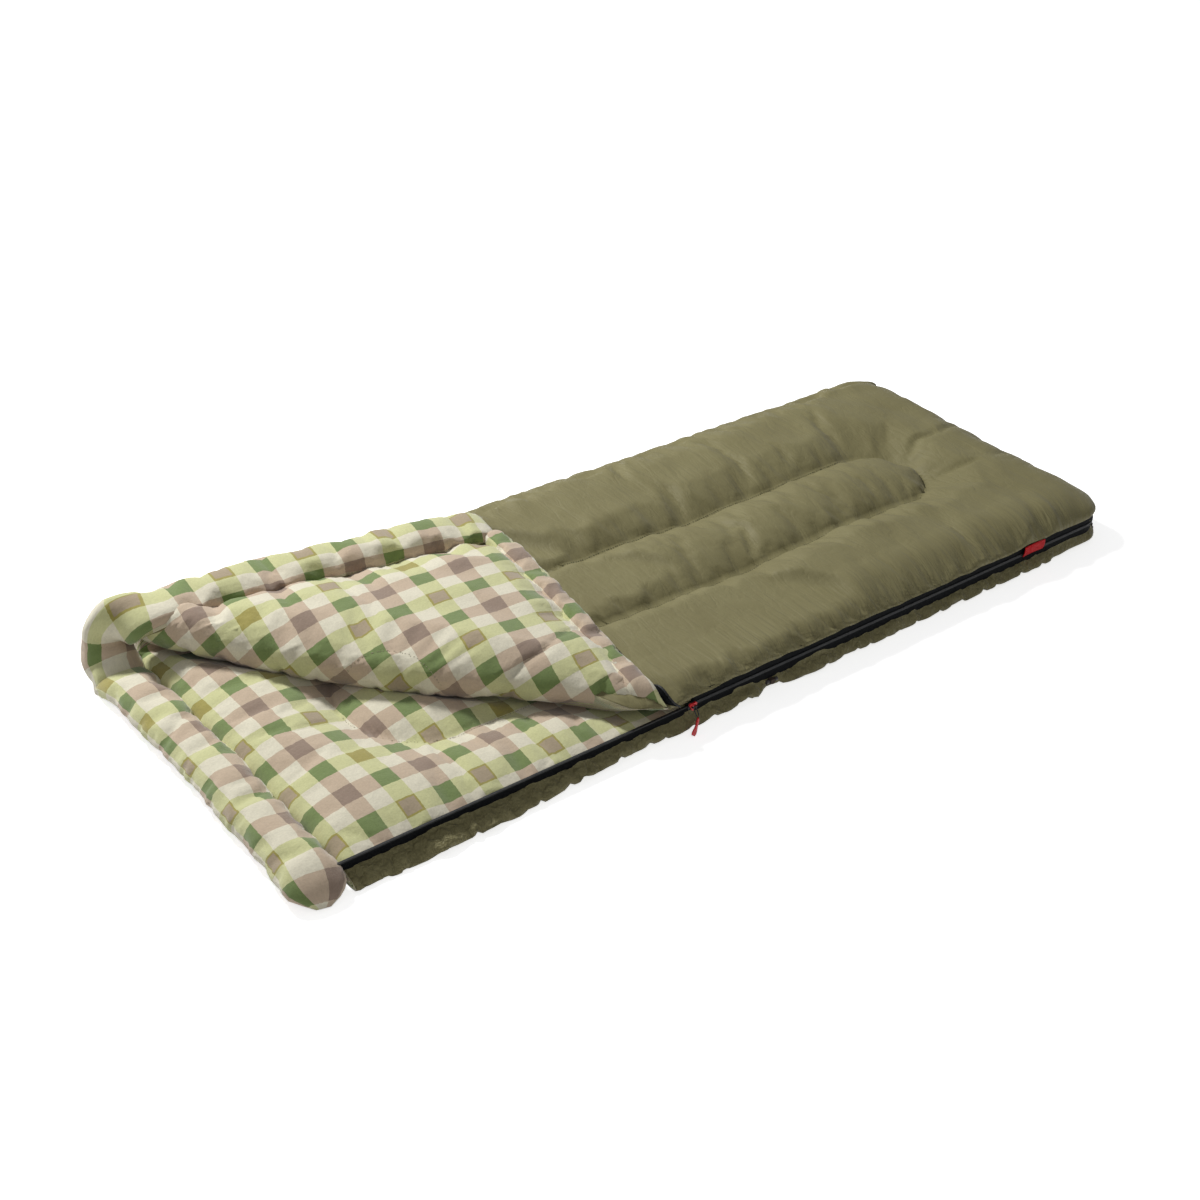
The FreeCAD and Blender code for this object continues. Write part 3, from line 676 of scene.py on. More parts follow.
# Thread of the quilting. Polyester thread sewn through both cloths and the filling, so its short
# stitches lie in the grooves of the two tracks, olive outside and pale on the fleece.
def stitches(name, grid, cloth, line, look):
    """Row of thread stitches laid on a skin, along a line drawn on its flat cloth."""
    pitch = 0.0052
    half_long = 0.0019
    thick = 0.0008
    run = np.concatenate([[0], np.cumsum(np.hypot(*np.diff(line, axis=0).T))])
    along = np.linspace(0, run[-1], int(run[-1] / pitch))
    spot = np.stack([np.interp(along, run, line[:, k]) for k in (0, 1)], -1)
    ahead = np.stack([np.interp(along + 0.002, run, line[:, k]) for k in (0, 1)], -1)
    points = grid.reshape(-1, 3)
    flat = cloth.reshape(-1, 2)
    normal = np.cross(np.gradient(grid, axis=0), np.gradient(grid, axis=1)).reshape(-1, 3)
    normal = normal / (np.linalg.norm(normal, axis=1)[:, None] + 1e-12)
    normal = normal * np.sign(normal[:, 2:3] + 1e-9)

    def close_to(place):
        gap = ((flat - place) ** 2).sum(1)
        close = np.argpartition(gap, 4)[:4]
        share = 1 / (gap[close] + 1e-8)
        return close, share / share.sum()

    faces = []
    corners = []
    for a, b in zip(spot, ahead):
        close, share = close_to(a)
        near = share @ points[close]
        up = share @ normal[close]
        close, share = close_to(b)
        step = share @ points[close] - near
        if np.linalg.norm(step) < 1e-5:
            continue
        step = step / np.linalg.norm(step)
        up = up / np.linalg.norm(up)
        aside = np.cross(up, step)
        base = len(corners)
        near = near + up * 0.0006
        corners.extend([near - step * half_long - up * thick, near + aside * thick, near + up * 0.0006,
                        near - aside * thick, near - up * 0.0006, near + step * half_long - up * thick])
        for k in range(4):
            one, two = base + 1 + k, base + 1 + (k + 1) % 4
            faces.append([base, one, two, two])
            faces.append([base + 5, two, one, one])
    corners = np.array(corners)
    return mesh_piece(name, corners, faces, corners[:, :2], (look,))


def thread_look(name, colour):
    """Twisted polyester thread."""
    look, tree, shader = paint(name)
    place = node(tree, "TexCoord").outputs["Object"]
    body = blend_colour(tree, noise(tree, place, 900.0, 1.0), tint(*colour), tint(*[c * 0.7 for c in colour]))
    finish(tree, shader, body, Roughness=0.55)
    return look


def track_line(start, end, middle, half, first, last):
    """Points along a rounded track of stitching, from one rail round the arc to the other."""
    turn = np.linspace(-np.pi / 2, np.pi / 2, 25)
    arc = np.stack([end - half + half * np.cos(turn), middle + half * np.sin(turn)], -1)
    low = np.array([[first, middle - half]])
    high = np.array([[last, middle + half]])
    return np.concatenate([low, arc, high])


olive_thread = thread_look("olive_thread", (58, 55, 36))
pale_thread = thread_look("pale_thread", (176, 168, 140))
top_columns = slice(flat_rows + turn_rows, None)
flat_cloth = cloth_out[:, top_columns].copy()
flat_cloth[:, :, 1] = 2 * turn_y + turn_cloth - flat_cloth[:, :, 1]
line = track_line(first=fold_x(-0.11) + 0.06, last=-0.12, **top_track)
top_stitches = stitches("top_stitches", outer[:, top_columns], flat_cloth, line, olive_thread)
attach(top_stitches, "bag")
turn = np.linspace(np.pi, 1.5 * np.pi, 13)
arc = np.stack([low_track["start"] + low_track["half"] * (1 + np.cos(turn)),
                low_track["middle"] + low_track["half"] * np.sin(turn)], -1)
rail_end = [-0.25, low_track["middle"] - low_track["half"]]
line = np.concatenate([arc, [rail_end]])
open_rows = slice(0, int(np.argmax(cloth_in[:, 0, 0] > 0.80)))
flat_cloth = cloth_in[open_rows, :flat_rows] - np.array([check_x, check_y])
low_stitches = stitches("lining_stitches", inner[open_rows, :flat_rows], flat_cloth, line, pale_thread)
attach(low_stitches, "bag")

# Turned-back corner of the upper half. Its fleece comes out from under the closed part, rolls over
# and lies on top. The stitching of the panel shows as an arc, and seams run beside its two bands.
band_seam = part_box("mouth_band_cover")[1][0]
band_wide = band_seam - mouth_x
flap_corner = np.array([-0.172, 0.2516])
flap_p = np.array([-0.99255, 0.12187])
flap_q = np.array([-0.12187, -0.99255])
zip_band_wide = 0.040
arc_middle = 0.405
arc_round = 0.085
# the cloth passes from the bag to the flap between these two places, below and above the hinge
# places along the fold line, the radius of the roll there, and how far its axis lies past the line
roll_t = np.array([-860, -820, -760, -640, -545, -460, -370, -275, -180, -44, 40, 100, 130, 170]) / 1000
roll_r = np.array([36, 45, 47, 43, 41, 40, 40, 39, 37, 32, 28, 22, 17, 9]) / 1000
roll_d = np.array([30, 30, 24, 6, -8, -10, -12, -4, 14, 30, 34, 42, 48, 56]) / 1000


def flap_place(p, q):
    """Plan position of a place on the flap, p from the zip edge and q from the mouth edge."""
    bow = 0.020 * np.sin(np.pi * np.clip(p / 0.74, 0, 1)) * np.exp(-np.maximum(q, 0) / 0.15)
    x = flap_corner[0] + p * flap_p[0] + q * flap_q[0]
    y = flap_corner[1] + p * flap_p[1] + q * flap_q[1] + bow
    return x, y


def flap_cloth(p, q):
    """Place on the flat fleece of a place on the flap."""
    rows = 0.6 + 32.0 * q - 3.2 * p
    columns = 17.6 - 26.0 * p + q
    return square * (rows + 0.5), square * (columns + 0.5)


def roll_at(t):
    """Radius of the roll and place of its axis across the fold line, along the fold."""
    fine = np.linspace(-0.86, 0.17, 100)
    kernel = np.hanning(11) / np.hanning(11).sum()
    size = np.convolve(np.pad(np.interp(fine, roll_t, roll_r), 5, "edge"), kernel, "valid")
    axis = np.convolve(np.pad(np.interp(fine, roll_t, roll_d), 5, "edge"), kernel, "valid")
    return np.interp(t, fine, size), np.interp(t, fine, axis)


def from_arc(p, q):
    """Distance from the arc of stitching on the panel, and from the rails that follow it."""
    return np.hypot(np.minimum(q - arc_middle, 0), p - arc_middle) - arc_round


def panel_relief(p, q):
    """Relief of the fleece of the flap, measured from the crown of its panel."""
    d = from_arc(p, q)
    turn = np.arctan2(p - arc_middle, np.abs(np.minimum(q - arc_middle, 0)) + 1e-6) * arc_round
    turn = turn + np.maximum(q - arc_middle, 0)
    z = hollow(d, 0.010, 0.016) + gathers(d, turn, 0.005, 0.034, 0.06, 61)
    z = z - 0.016 * np.exp(-np.maximum(q - band_wide, 0) / 0.014)
    z = z - 0.014 * np.exp(-np.maximum(p - zip_band_wide, 0) / 0.014)
    z = z + gathers(q - band_wide, p, 0.007, 0.034, 0.08, 63)
    z = z + gathers(p - zip_band_wide, q, 0.006, 0.034, 0.07, 65)
    return z + 0.0045 * mottle((p + q) / 0.06, (p - q) / 0.14, 67) + 0.004 * mottle(p / 0.13, q / 0.13, 68)


def roll_surface(p, q, extra, relief=1.0):
    """Point of the fleece of the roll and panel, from its place on the cloth."""
    x, y = flap_place(p, q)
    t, d = along_fold(x, y), past_fold(x, y)
    size, axis = roll_at(t)
    size = size + extra
    centre_z = upper_hem + size - extra
    spare = axis - d
    turn = np.clip(spare / size, 0, np.pi)
    flat = np.maximum(-spare, 0)
    tuck = np.maximum(spare - np.pi * size, 0)
    high = size + relief * panel_relief(p, q) * ease(flat / 0.05 + 0.35) * (turn < np.pi / 2)
    rib = 0.0040 * mottle(t / 0.050, spare / 0.09, 71) + 0.0022 * mottle(t / 0.022, spare / 0.05, 72)
    across = axis + flat + tuck - (size + rib) * np.sin(turn)
    z = centre_z + np.cos(turn) * high
    plan = fold_point[:2] + t[..., None] * fold_along[:2] + across[..., None] * fold_across[:2]
    return np.concatenate([plan, z[..., None]], -1)


under_tuck = 0.05
rows_p = np.arange(0.004, 0.72, 0.0085)
steps_q = 120
q_last = np.zeros(len(rows_p))
for i, p in enumerate(rows_p):
    q_try = np.linspace(0.03, 1.2, 1200)
    x, y = flap_place(p, q_try)
    size, axis = roll_at(along_fold(x, y))
    q_last[i] = q_try[np.argmax(axis - past_fold(x, y) > np.pi * size + under_tuck)]
q_first = band_wide - 0.016
grid_p = np.repeat(rows_p[:, None], steps_q, 1)
grid_q = q_first + np.linspace(0, 1, steps_q)[None, :] * (q_last - q_first)[:, None]
outer = roll_surface(grid_p, grid_q, 0.0)
inner = roll_surface(grid_p, grid_q, -0.005) - outer
x, y = flap_place(grid_p, grid_q)
size, axis = roll_at(along_fold(x, y))
rolled = ease((axis - past_fold(x, y)) / size / 1.5)
held = np.where(np.abs(from_arc(grid_p, grid_q)) < beside_stitch, 1, 0.1 * rolled)
held[:2] = 1
held[-2:] = 1
held[:, :2] = 1
held[:, -12:] = 1
outer = settle(outer, held, 4.0, 0.024, 0.018)
inner = inner + outer
cloth = np.stack(flap_cloth(grid_p, grid_q), -1)
fold_roll = skin_pair("fold_roll", outer, inner, cloth, cloth, (), (fleece, olive))
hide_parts("fold_shell", "fold_fill", "fold_lining", "flap_lining", "flap_fill")
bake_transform(fold_roll)

turn = np.linspace(-np.pi / 2, 0, 13)
arc = np.stack([arc_middle + arc_round * np.cos(turn), arc_middle + arc_round * np.sin(turn)], -1)
line = np.concatenate([arc, [[arc_middle + arc_round, 0.55]]])
mirror = np.stack([2 * arc_middle - line[::-1, 0], line[::-1, 1]], -1)
line = np.concatenate([mirror, line])
flap_stitches = stitches("flap_stitches", outer, np.stack([grid_p, grid_q], -1), line, pale_thread)
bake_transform(flap_stitches)

# Back of the turned-back corner. It is the olive outside of the quilt, sewn to the fleece round the
# edges, and it lies face down on the closed part of the bag.
flap_base = crown + 0.001
line_p = np.linspace(0.010, 0.80, 80)
line_q = np.linspace(0.006, 0.80, 80)
grid_p, grid_q = np.meshgrid(line_p, line_q, indexing="ij")
x, y = flap_place(grid_p, grid_q)
t = np.clip(along_fold(x, y), -0.79, 0.06)
size, axis = roll_at(t)
back_low = axis + 0.002
d = np.maximum(past_fold(x, y), back_low)
plan = fold_point[:2] + t[..., None] * fold_along[:2] + d[..., None] * fold_across[:2]
inset = np.minimum(np.minimum(grid_p - 0.010, grid_q - 0.006), d - back_low)
swell = ease(inset / 0.05)
bottom = flap_base + 0.012 * (1 - swell) + 0.002 * mottle(grid_p / 0.05, grid_q / 0.12, 81)
roof = np.maximum(flap_base + 0.014, bottom + 0.002) - 0.002 * (1 - swell)
outer = np.concatenate([plan, roof[..., None]], -1)
inner = np.concatenate([plan, bottom[..., None]], -1)
cloth = np.stack([grid_q, grid_p], -1)
flap_back = skin_pair("flap_back", outer, inner, cloth, cloth, ("near", "last", "foot", "start"),
                      (olive, olive))
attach(flap_back, "flap")
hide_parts("flap_shell")


# Mouth band. One fat tube of fleece and fibre, sewn along the whole mouth. It runs from the near
# corner to the far side, turns up there with the quilt and goes on along the mouth edge of the flap.
def tube(name, centre, side, half, high, cloth_u, cloth_v, bare, bump, seed, wave=0.03, bare_rows=True):
    """Closed padded tube along a line. Its section is a flat oval, and its back is olive cloth."""
    n = len(centre)
    m = 40
    a = np.linspace(0, 2 * np.pi, m, endpoint=False)
    wide = np.sign(np.cos(a)) * np.abs(np.cos(a)) ** 0.78
    tall = np.sign(np.sin(a)) * np.abs(np.sin(a)) ** 0.86
    tangent = np.gradient(centre, axis=0)
    tangent = tangent / np.linalg.norm(tangent, axis=1)[:, None]
    side = side - tangent * (side * tangent).sum(1)[:, None]
    side = side / np.linalg.norm(side, axis=1)[:, None]
    up = np.cross(tangent, side)
    along = np.concatenate([[0], np.cumsum(np.linalg.norm(np.diff(centre, axis=0), axis=1))])
    half_girth = 2 * half.max() + 0.8 * high.max()
    around = np.repeat(half_girth * (np.pi - a)[None, :] / np.pi, n, 0)
    around = np.where(around < 0, around + 2 * half_girth, around)
    length = np.repeat(along[:, None], m, 1)
    angle = np.repeat(a[None, :], n, 0)
    grow = bump * mottle(length / wave, around / 0.05, seed) * np.abs(np.sin(angle)) ** 0.5
    grow = grow + 0.8 * bump * mottle(length / 0.09, around / 0.06, seed + 1)
    grow = grow + 0.6 * bump * mottle(length / 0.014, around / 0.035, seed + 2) * np.abs(np.cos(angle)) ** 2
    grow = grow * np.clip(half / half.max(), 0, 1)[:, None]
    spoke = np.sqrt(wide ** 2 + tall ** 2)
    points = (centre[:, None, :] + side[:, None, :] * (half[:, None] * wide + grow * wide / spoke)[:, :, None]
              + up[:, None, :] * (high[:, None] / 2 * tall + grow * tall / spoke)[:, :, None])
    ring = np.concatenate([points, points[:, :1]], 1)
    held = np.repeat((np.sin(np.append(a, 0)) < -0.3)[None, :].astype(float), n, 0)
    held[:, 0] = held[:, -1] = 0.3
    held[:3] = 1
    held[-3:] = 1
    held[np.linalg.norm(np.gradient(side, axis=0), axis=1) > 0.02] = 1
    ring = settle(ring, held, 3.0, 0.032, 0.006, ring - centre[:, None, :])
    points = ring[:, :-1]
    points[:, 0] = (ring[:, 0] + ring[:, -1]) / 2
    points[:, :, 2] = np.maximum(points[:, :, 2], 0.0)
    cloth = np.stack([cloth_u(length, around), cloth_v(length, around)], -1)
    index = np.arange(n * m).reshape(n, m)
    ring = np.concatenate([index, index[:, :1]], 1)
    backed = np.broadcast_to(bare_rows, n)[:-1, None]
    slots = (backed * ((a > bare[0]) & (a < bare[1]))[None, :]).astype(int).ravel()
    caps = []
    for row, tip in ((ring[0], n * m), (ring[-1], n * m + 1)):
        caps.extend([tip, row[k], row[k + 1], row[k + 1]] for k in range(m))
    points = np.concatenate([points.reshape(-1, 3), [points[0].mean(0), points[-1].mean(0)]])
    cloth = np.concatenate([cloth.reshape(-1, 2), [cloth[0].mean(0), cloth[-1].mean(0)]])
    slots = np.concatenate([slots, np.zeros(len(caps), int)])
    return mesh_piece(name, points, np.concatenate([quads_of(ring), caps]), cloth, (fleece, olive), slots)


def dome(along, length, least):
    """Share of the full size along a round end."""
    return np.maximum(np.sqrt(1 - (1 - np.clip(along / length, 0, 1)) ** 2), least)


def rounded_ends(along, length, least):
    """Share of the full section near the two ends of a tube."""
    return dome(np.minimum(along, along[-1] - along), length, least)


def arc_length(line):
    """Distance along a line of points."""
    return np.concatenate([[0], np.cumsum(np.linalg.norm(np.diff(line, axis=0), axis=1))])


band_thick = 0.045
band_half = band_wide / 2 + 0.003
band_pitch = 0.008
band_start = near_y - 0.037
curl_y = turn_y - 0.020
curl_size = 0.046
rest_z = band_thick / 2 + 0.0005
flap_z = 0.1155
straight = np.arange(band_start, curl_y, band_pitch)
rows_low = len(straight)
lower = np.stack([np.full(rows_low, seam_x - band_half + 0.009), straight, np.full(rows_low, rest_z)], -1)
lower[:, 2] = lower[:, 2] * rounded_ends(straight - band_start, 0.065, 0.2)
lower[:, 0] = lower[:, 0] - 0.018 * np.exp(-(straight - band_start) / 0.08)
curl = np.linspace(0, np.pi / 2, 10)[1:]
turned = np.stack([np.full(len(curl), lower[-1, 0]), curl_y + curl_size * np.sin(curl),
                   rest_z + curl_size * (1 - np.cos(curl))], -1)
join_p = 0.645
join = np.array([*flap_place(join_p, band_wide / 2), flap_z])
step = np.linspace(0, 1, 15)[1:-1, None]
rise = turned[-1] + np.array([0, 0, 0.036])
lead = join + np.array([flap_p[0], flap_p[1], 0]) * 0.05
over = ((1 - step) ** 3 * turned[-1] + 3 * step * (1 - step) ** 2 * rise + 3 * step ** 2 * (1 - step) * lead
        + step ** 3 * join)
flap_run = np.arange(join_p, 0.012, -band_pitch)
upper = np.stack([*flap_place(flap_run, np.full(len(flap_run), band_wide / 2)),
                  np.full(len(flap_run), flap_z)], -1)
centre = np.concatenate([lower, turned, over, upper])
bend = slice(rows_low, rows_low + len(turned) + len(over))
out_low = np.array([-1.0, 0, 0])
out_mid = np.array([-0.667, 0.667, 0.333]) * 1.3
out_flap = np.array([-flap_q[0], -flap_q[1], 0])
out_over = (1 - step) ** 2 * out_low + 2 * step * (1 - step) * out_mid + step ** 2 * out_flap
side = np.concatenate([np.repeat(out_low[None], rows_low + len(turned), 0), out_over,
                       np.repeat(out_flap[None], len(upper), 0)])
steps = arc_length(centre)
# the check runs on along the band, and whole repeats of it are taken up in the bend
flap_cells = 20 + 17.6 - 26.0 * flap_run
cloth_run = np.concatenate([straight + 0.29, np.zeros(len(turned) + len(over)), square * flap_cells])
cloth_run = cloth_run + square / 2
spare = cloth_run[bend.start - 1] + np.diff(steps[bend]).sum() - cloth_run[bend.stop]
cloth_run[bend.stop:] = cloth_run[bend.stop:] + np.round(spare / (4 * square)) * 4 * square
cloth_run[bend] = np.linspace(cloth_run[bend.start - 1], cloth_run[bend.stop], len(steps[bend]) + 2)[1:-1]
cloth_rim = square * np.interp(np.arange(len(centre)), [bend.start, bend.stop], [3.7, 2.8])
pinch = 1 - 0.22 * np.exp(-((steps - steps[rows_low + len(turned)]) / 0.02) ** 2)
band_wides = band_half * (0.75 + 0.25 * rounded_ends(steps, 0.030, 0.12)) * dome(steps, 0.05, 0.3)
band_wides = band_wides * pinch ** 0.5 * (1 + 0.16 * np.exp(-steps / 0.09))
band_highs = band_thick * rounded_ends(steps, 0.080, 0.10)
band_highs = band_highs * np.where(steps > steps[bend.start], 1.08, 1) * pinch
mouth_band = tube("mouth_band", centre, side, band_wides, band_highs,
                  lambda s, g: np.interp(s, steps, cloth_rim) - g,
                  lambda s, g: np.interp(s, steps, cloth_run),
                  (np.pi * 1.02, math.radians(292)), 0.0036, 51)
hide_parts("mouth_band_cover", "mouth_band_fill", "flap_band_cover", "flap_band_fill")
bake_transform(mouth_band)

# Narrow padded band along the zip edge of the flap, with the zip sewn under its edge. It follows
# the roll over and down, thins out there and ends at the slider.
run = np.arange(band_wide - 0.02, 0.68, 0.007)
middle = zip_band_wide / 2


def flap_sheet(p):
    """Surface of the roll without its relief, along the zip edge."""
    return roll_surface(np.full(len(run), p), run, 0.0, 0.0)


place = flap_sheet(middle)
x, y = flap_place(np.full(len(run), middle), run)
size, axis = roll_at(along_fold(x, y))
turn = (axis - past_fold(x, y)) / size
kept = turn < np.pi * 0.92
run, place, turn = run[kept], place[kept], np.maximum(turn[kept], 0)
toward = flap_sheet(middle - 0.01) - flap_sheet(middle + 0.01)
toward = toward / np.linalg.norm(toward, axis=1)[:, None]
outward = np.cross(np.gradient(place, axis=0), toward)
outward = outward / np.linalg.norm(outward, axis=1)[:, None]
outward = outward * np.sign((outward[:, 2:3] * np.cos(turn)[:, None]) + 1e-9)
thin = 1 - 0.72 * ease(turn / 1.6)
high = 0.040 * thin
centre = place - outward * (high / 2 - 0.006 * thin)[:, None]
zip_steps = arc_length(centre)
shape = rounded_ends(zip_steps, 0.024, 0.2)
wide = (middle + 0.003) * (0.5 + 0.5 * shape) * (1 - 0.3 * ease(turn / 2))
flap_zip_band = tube("flap_zip_band", centre, toward, wide, high * shape,
                     lambda s, g: flap_cloth(middle, np.interp(s, zip_steps, run))[0],
                     lambda s, g: square * (16.9 + 0.5) + g,
                     (np.pi * 1.02, math.radians(300)), 0.0028, 91, 0.026, turn < 0.01)
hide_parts("flap_draft_tube")
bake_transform(flap_zip_band)


# Zip. Two black woven tapes with a nylon coil between them. Closed, they are one smooth strip round
# the near side and the foot. The flap carries its own half, tucked under its narrow band.
def tape_look():
    """Black woven tape with a fine herringbone."""
    look, tree, shader = paint("tape_black")
    place = node(tree, "TexCoord").outputs["Object"]
    rib = ribs(tree, place, 260.0, "Z", Distortion=1.5, Detail=1.0)
    slant = ribs(tree, place, 180.0, "DIAGONAL", Distortion=0.5)
    body = blend_colour(tree, noise(tree, place, 25.0, 3.0), tint(3, 5, 7), tint(9, 12, 15))
    normal = relief(tree, 0.5, 0.0006, calc(tree, "MULTIPLY", rib, slant))
    finish(tree, shader, body, normal, Roughness=0.8, Specular_IOR_Level=0.12)
    return look


def nylon_look(name, dark, light, rough, pitch=0.0):
    """Moulded nylon, with ribs where it is a coil."""
    look, tree, shader = paint(name)
    place = node(tree, "TexCoord").outputs["Object"]
    cloud = noise(tree, place, 60.0, 3.0)
    worn = node(tree, "MapRange", Value=cloud, To_Min=rough - 0.08, To_Max=rough + 0.12)
    tree.links.new(worn.outputs[0], shader.inputs["Roughness"])
    if pitch:
        normal = relief(tree, 0.6, 0.0007, ribs(tree, place, math.pi / 10 / pitch, "X"))
    else:
        normal = relief(tree, 0.6, 0.00008, noise(tree, place, 700.0, 2.0))
    finish(tree, shader, blend_colour(tree, cloud, tint(*dark), tint(*light)), normal)
    return look


def dress(look, *names):
    """Puts a finish on parts of the frame."""
    for name in names:
        for holder in [o for o in bpy.data.objects if o.type == "MESH" and o.name.split(".")[0] == name]:
            for material_slot in holder.material_slots:
                material_slot.material = look


tape_black = tape_look()
coil_black = nylon_look("coil_black", (4, 6, 8), (10, 13, 16), 0.62, 0.0022)
dress(tape_black, "lower_zip_tape", "upper_zip_tape")
dress(coil_black, "lower_zip_coil", "upper_zip_coil", "mouth_stop", "foot_stop")


def drawn_solid(name, points, look):
    """Closed solid from rings of points, one ring after another."""
    index = np.arange(points.shape[0] * points.shape[1]).reshape(points.shape[:2])
    faces = quads_of(np.concatenate([index, index[:, :1]], 1)).tolist()
    faces += [index[0].tolist(), index[-1][::-1].tolist()]
    mesh = bpy.data.meshes.new(name)
    mesh.from_pydata(points.reshape(-1, 3).tolist(), [], faces)
    mesh.materials.append(look)
    return closed_object(name, mesh)


def ribbon(name, centre, side, up, wide, thick, look, teeth=0.0):
    """Thin strip or coil along a line, as a closed mesh. With teeth, its edge is ribbed."""
    around = [(-1, -1), (1, -1), (1, 1), (-1, 1)]
    if teeth:
        turn = np.linspace(0, 2 * np.pi, 8, endpoint=False)
        around = [(math.cos(a), math.sin(a)) for a in turn]
    scale = 1 + teeth * (np.arange(len(centre)) % 2)
    points = np.stack([centre + side * (wide / 2 * a * scale)[:, None] + up * (thick / 2 * b * scale)[:, None]
                       for a, b in around], 1)
    return drawn_solid(name, points, look)


fine = np.arange(run[0] + 0.012, run[-1], 0.0022)
rest = np.interp(fine, run, turn)


def follow(values):
    """Values of the flap's band at closer steps."""
    return np.stack([np.interp(fine, run, values[:, k]) for k in range(3)], -1)


base, sideways, outwards = follow(place), follow(toward), follow(outward)
sink = 0.018 - 0.010 * ease(rest / 1.6)
middle_line = base + sideways * (middle + 0.001) - outwards * sink[:, None]
flap_tape = ribbon("flap_tape", middle_line, sideways, outwards, 0.013, 0.0012, tape_black)
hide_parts("flap_zip_tape")
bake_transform(flap_tape)
coil_line = middle_line + sideways * 0.0075
flap_coil = ribbon("flap_coil", coil_line, sideways, outwards, 0.0036, 0.0030, coil_black, 0.3)
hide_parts("flap_zip_coil", "flap_stop")
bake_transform(flap_coil)

# Slider. A cast body in black enamel that runs on the two coils. A lobed red guard is moulded over
# it, which pushes the cloth aside before the coils meet.
red_plastic = nylon_look("red_plastic", (206, 22, 30), (232, 40, 46), 0.36)
enamel = nylon_look("black_enamel", (16, 17, 19), (40, 41, 44), 0.32)
dress(red_plastic, "slider_guard")
dress(enamel, "slider_body")

# Pull. A stiff red moulded tab, narrow at its eye and wide at its end, on a short black link. It
# hangs outside the gathered wall, so it leans out and back towards the mouth.
def moulding(name, line, half_wide, half_thick, aside, look, corners=16):
    """Solid with a rounded flat section, drawn along a line of points."""
    turn = np.linspace(0, 2 * np.pi, corners, endpoint=False)
    flat = np.sign(np.cos(turn)) * np.abs(np.cos(turn)) ** 0.5
    tall = np.sign(np.sin(turn)) * np.abs(np.sin(turn)) ** 0.5
    onward = np.gradient(line, axis=0)
    onward = onward / np.linalg.norm(onward, axis=1)[:, None]
    across = aside - onward * (onward @ aside)[:, None]
    across = across / np.linalg.norm(across, axis=1)[:, None]
    up = np.cross(onward, across)
    points = (line[:, None] + across[:, None] * (half_wide[:, None] * flat)[:, :, None]
              + up[:, None] * (half_thick[:, None] * tall)[:, :, None])
    return drawn_solid(name, points, look)


link_pin = np.array(joint_named("link_swing")["pos_m"])
tab_eye = link_pin + np.array([0.0005, -0.0105, -0.0150])
tab_end = tab_eye + np.array([-0.0200, -0.0120, -0.0225])
share = np.linspace(0, 1, 9)[:, None]
sag = np.sin(np.pi * share) * np.array([[0.0, -0.0015, 0.001]])
wide = np.array([0.0014, 0.0032, 0.0034, 0.0030, 0.0034, 0.0044, 0.0056, 0.0064, 0.0050])
thick = np.array([0.0008, 0.0015, 0.0016, 0.0015, 0.0014, 0.0014, 0.0014, 0.0013, 0.0006])
tab_line = tab_eye + (tab_end - tab_eye) * share + sag
pull = moulding("pull_moulding", tab_line, wide, thick, np.array([0.7, 0.0, -0.6]), red_plastic)
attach(pull, "pull")
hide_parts("pull_tab")
turn = np.linspace(0.25 * np.pi, 2.2 * np.pi, 25)
wire = np.full(len(turn), 0.0009)
middle_link = (link_pin + tab_eye) / 2
reach = (tab_eye - link_pin) / np.linalg.norm(tab_eye - link_pin)
loop = middle_link + np.cos(turn)[:, None] * reach * 0.0105 + np.sin(turn)[:, None] * np.array([0.0030, 0, 0])
link = moulding("link_wire", loop, wire, wire, np.array([0.1, 1.0, 0.3]), enamel, 8)
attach(link, "link")
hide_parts("pull_link")

# Draft tube. A soft roll of fleece and fibre, sewn to the lining along its back. It lies inside the
# bag behind the closed zip and keeps the wind out.
low_corner, high_corner = np.array(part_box("draft_tube"))
steps_x = np.arange(low_corner[0] + 0.002, high_corner[0] - 0.002, 0.012)
centre = np.repeat((low_corner + high_corner)[None] / 2, len(steps_x), 0)
centre[:, 0] = steps_x
side = np.repeat(np.array([[0, -1.0, 0]]), len(steps_x), 0)
shape = rounded_ends(steps_x - steps_x[0], 0.02, 0.3)
wide = (high_corner[1] - low_corner[1]) / 2 * shape * 0.92
high = (high_corner[2] - low_corner[2]) * shape * 0.86
draft = tube("draft_roll", centre, side, wide, high, lambda s, g: s, lambda s, g: g, (9.0, 10.0), 0.0008, 95)
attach(draft, "bag")
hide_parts("draft_tube")

# Woven side label, bare and red. It is a folded piece of ribbon, sewn over the edge above the zip,
# with a raised hem round it, and it is slightly bowed by the padding behind it.
low_corner, high_corner = np.array(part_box("side_label"))
label_look, tree, shader = paint("label_red")
place = node(tree, "TexCoord").outputs["Object"]
weave = calc(tree, "MULTIPLY", ribs(tree, place, 420.0, "X"), ribs(tree, place, 420.0, "Z"))
body = blend_colour(tree, weave, tint(190, 14, 22), tint(214, 22, 30))
finish(tree, shader, body, relief(tree, 0.5, 0.0003, weave), Roughness=0.6, Specular_IOR_Level=0.25)
u, v = np.meshgrid(np.linspace(0, 1, 25), np.linspace(0, 1, 13), indexing="ij")
x = low_corner[0] + u * (high_corner[0] - low_corner[0])
z = low_corner[2] + v * (high_corner[2] - low_corner[2]) + 0.0012 * np.sin(np.pi * u)
bow = 0.0030 * np.sin(np.pi * v) * (0.6 + 0.4 * np.sin(np.pi * u)) + 0.0018 * v
hem = 0.0005 * ((u < 0.05) | (u > 0.95) | (v < 0.10) | (v > 0.90))
front = np.stack([x, low_corner[1] - 0.0012 - bow - hem, z], -1)
behind = front + np.array([0, 0.0016, 0])
flat = np.stack([x, z], -1)
label_patch = skin_pair("label_patch", front, behind, flat, flat, (), (label_look, label_look))
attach(label_patch, "bag")
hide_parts("side_label")

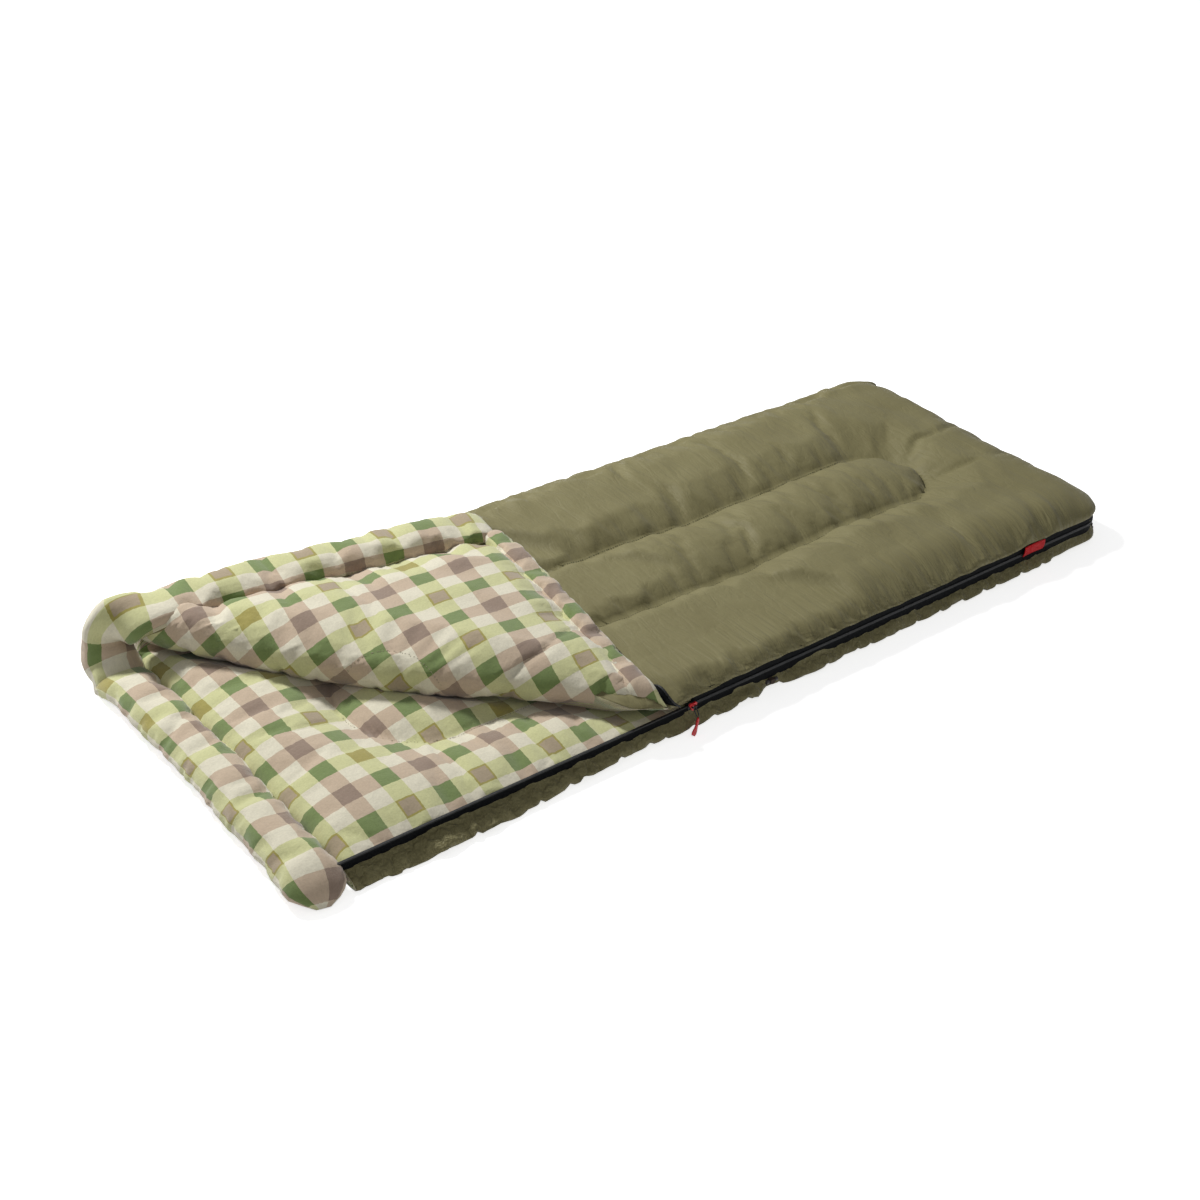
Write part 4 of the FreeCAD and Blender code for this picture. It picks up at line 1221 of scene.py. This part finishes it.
# Loops. Short folded ends of dark brown webbing, woven on the slant and sewn into the hem beside
# the zip. A grey moulded bar is held in each and turns in it.
web_look, tree, shader = paint("webbing_brown")
rib = ribs(tree, node(tree, "TexCoord").outputs["Object"], 300.0, "DIAGONAL", Distortion=0.6)
body = blend_colour(tree, rib, tint(52, 40, 32), tint(84, 68, 54))
finish(tree, shader, body, relief(tree, 0.7, 0.0005, rib), Roughness=0.8)
dress(web_look, "side_loop", "foot_loop")
toggle_grey = nylon_look("toggle_grey", (60, 57, 58), (84, 80, 80), 0.45)
dress(toggle_grey, "side_toggle", "foot_toggle")

# Studio. A white floor that keeps a faint shadow, a soft key lamp from beyond the far side, a weak
# fill from the front, and a camera that looks along the bag from near its mouth.
floor_mesh = bpy.data.meshes.new("floor")
floor_mesh.from_pydata([(-9, -9, 0), (9, -9, 0), (9, 9, 0), (-9, 9, 0)], [], [(0, 1, 2, 3)])
floor = bpy.data.objects.new("floor", floor_mesh)
bpy.context.collection.objects.link(floor)
floor_look, tree, shader = paint("floor_white")
for socket, value in (("Base Color", (0.90, 0.90, 0.90, 1)), ("Roughness", 0.9), ("Specular IOR Level", 0.1),
                      ("Emission Color", (1, 1, 1, 1))):
    shader.inputs[socket].default_value = value
seen = node(tree, "LightPath").outputs
direct = calc(tree, "MAXIMUM", seen["Is Camera Ray"], seen["Is Glossy Ray"])
direct = calc(tree, "MAXIMUM", direct, seen["Is Transmission Ray"])
tree.links.new(calc(tree, "MULTIPLY", direct, 0.70), shader.inputs["Emission Strength"])
floor_mesh.materials.append(floor_look)
floor.location.z = -0.0005

world = bpy.data.worlds.new("studio")
world.use_nodes = True
bpy.context.scene.world = world
sky = world.node_tree.nodes["Background"]
sky.inputs["Color"].default_value = (1, 1, 1, 1)
seen = node(world.node_tree, "LightPath")
strength = node(world.node_tree, "MapRange", Value=seen.outputs["Is Camera Ray"], To_Min=0.24, To_Max=1.0)
world.node_tree.links.new(strength.outputs[0], sky.inputs["Strength"])


def lamp(name, place, aim, size, power):
    """Soft square lamp that points at a place on the bag."""
    data = bpy.data.lights.new(name, "AREA")
    data.size = size
    data.energy = power
    made = bpy.data.objects.new(name, data)
    made.location = place
    made.rotation_mode = "QUATERNION"
    made.rotation_quaternion = (Vector(aim) - Vector(place)).to_track_quat("-Z", "Y")
    bpy.context.collection.objects.link(made)


lamp("key_lamp", (-1.0, 2.6, 3.0), (0, 0, 0), 0.6, 168)
lamp("fill_lamp", (-1.5, -3.0, 2.4), (0, 0, 0), 2.5, 12)

camera_data = bpy.data.cameras.new("camera")
camera_data.sensor_width = 36
camera_data.lens = 54.8
camera_far = 3.40
camera_aim = Vector((-0.057, 0.035, 0))
camera = bpy.data.objects.new("camera", camera_data)
bpy.context.collection.objects.link(camera)
azimuth = math.radians(-41.6)
elevation = math.radians(32.95)
roll = math.radians(4.25)
back = Vector((math.sin(azimuth) * math.cos(elevation), -math.cos(azimuth) * math.cos(elevation),
               math.sin(elevation)))
camera.location = camera_aim + back * camera_far
camera.rotation_mode = "QUATERNION"
camera.rotation_quaternion = (-back).to_track_quat("-Z", "Y") @ Quaternion((0, 0, 1), roll)
bpy.context.scene.camera = camera
bpy.context.scene.view_settings.view_transform = "Standard"
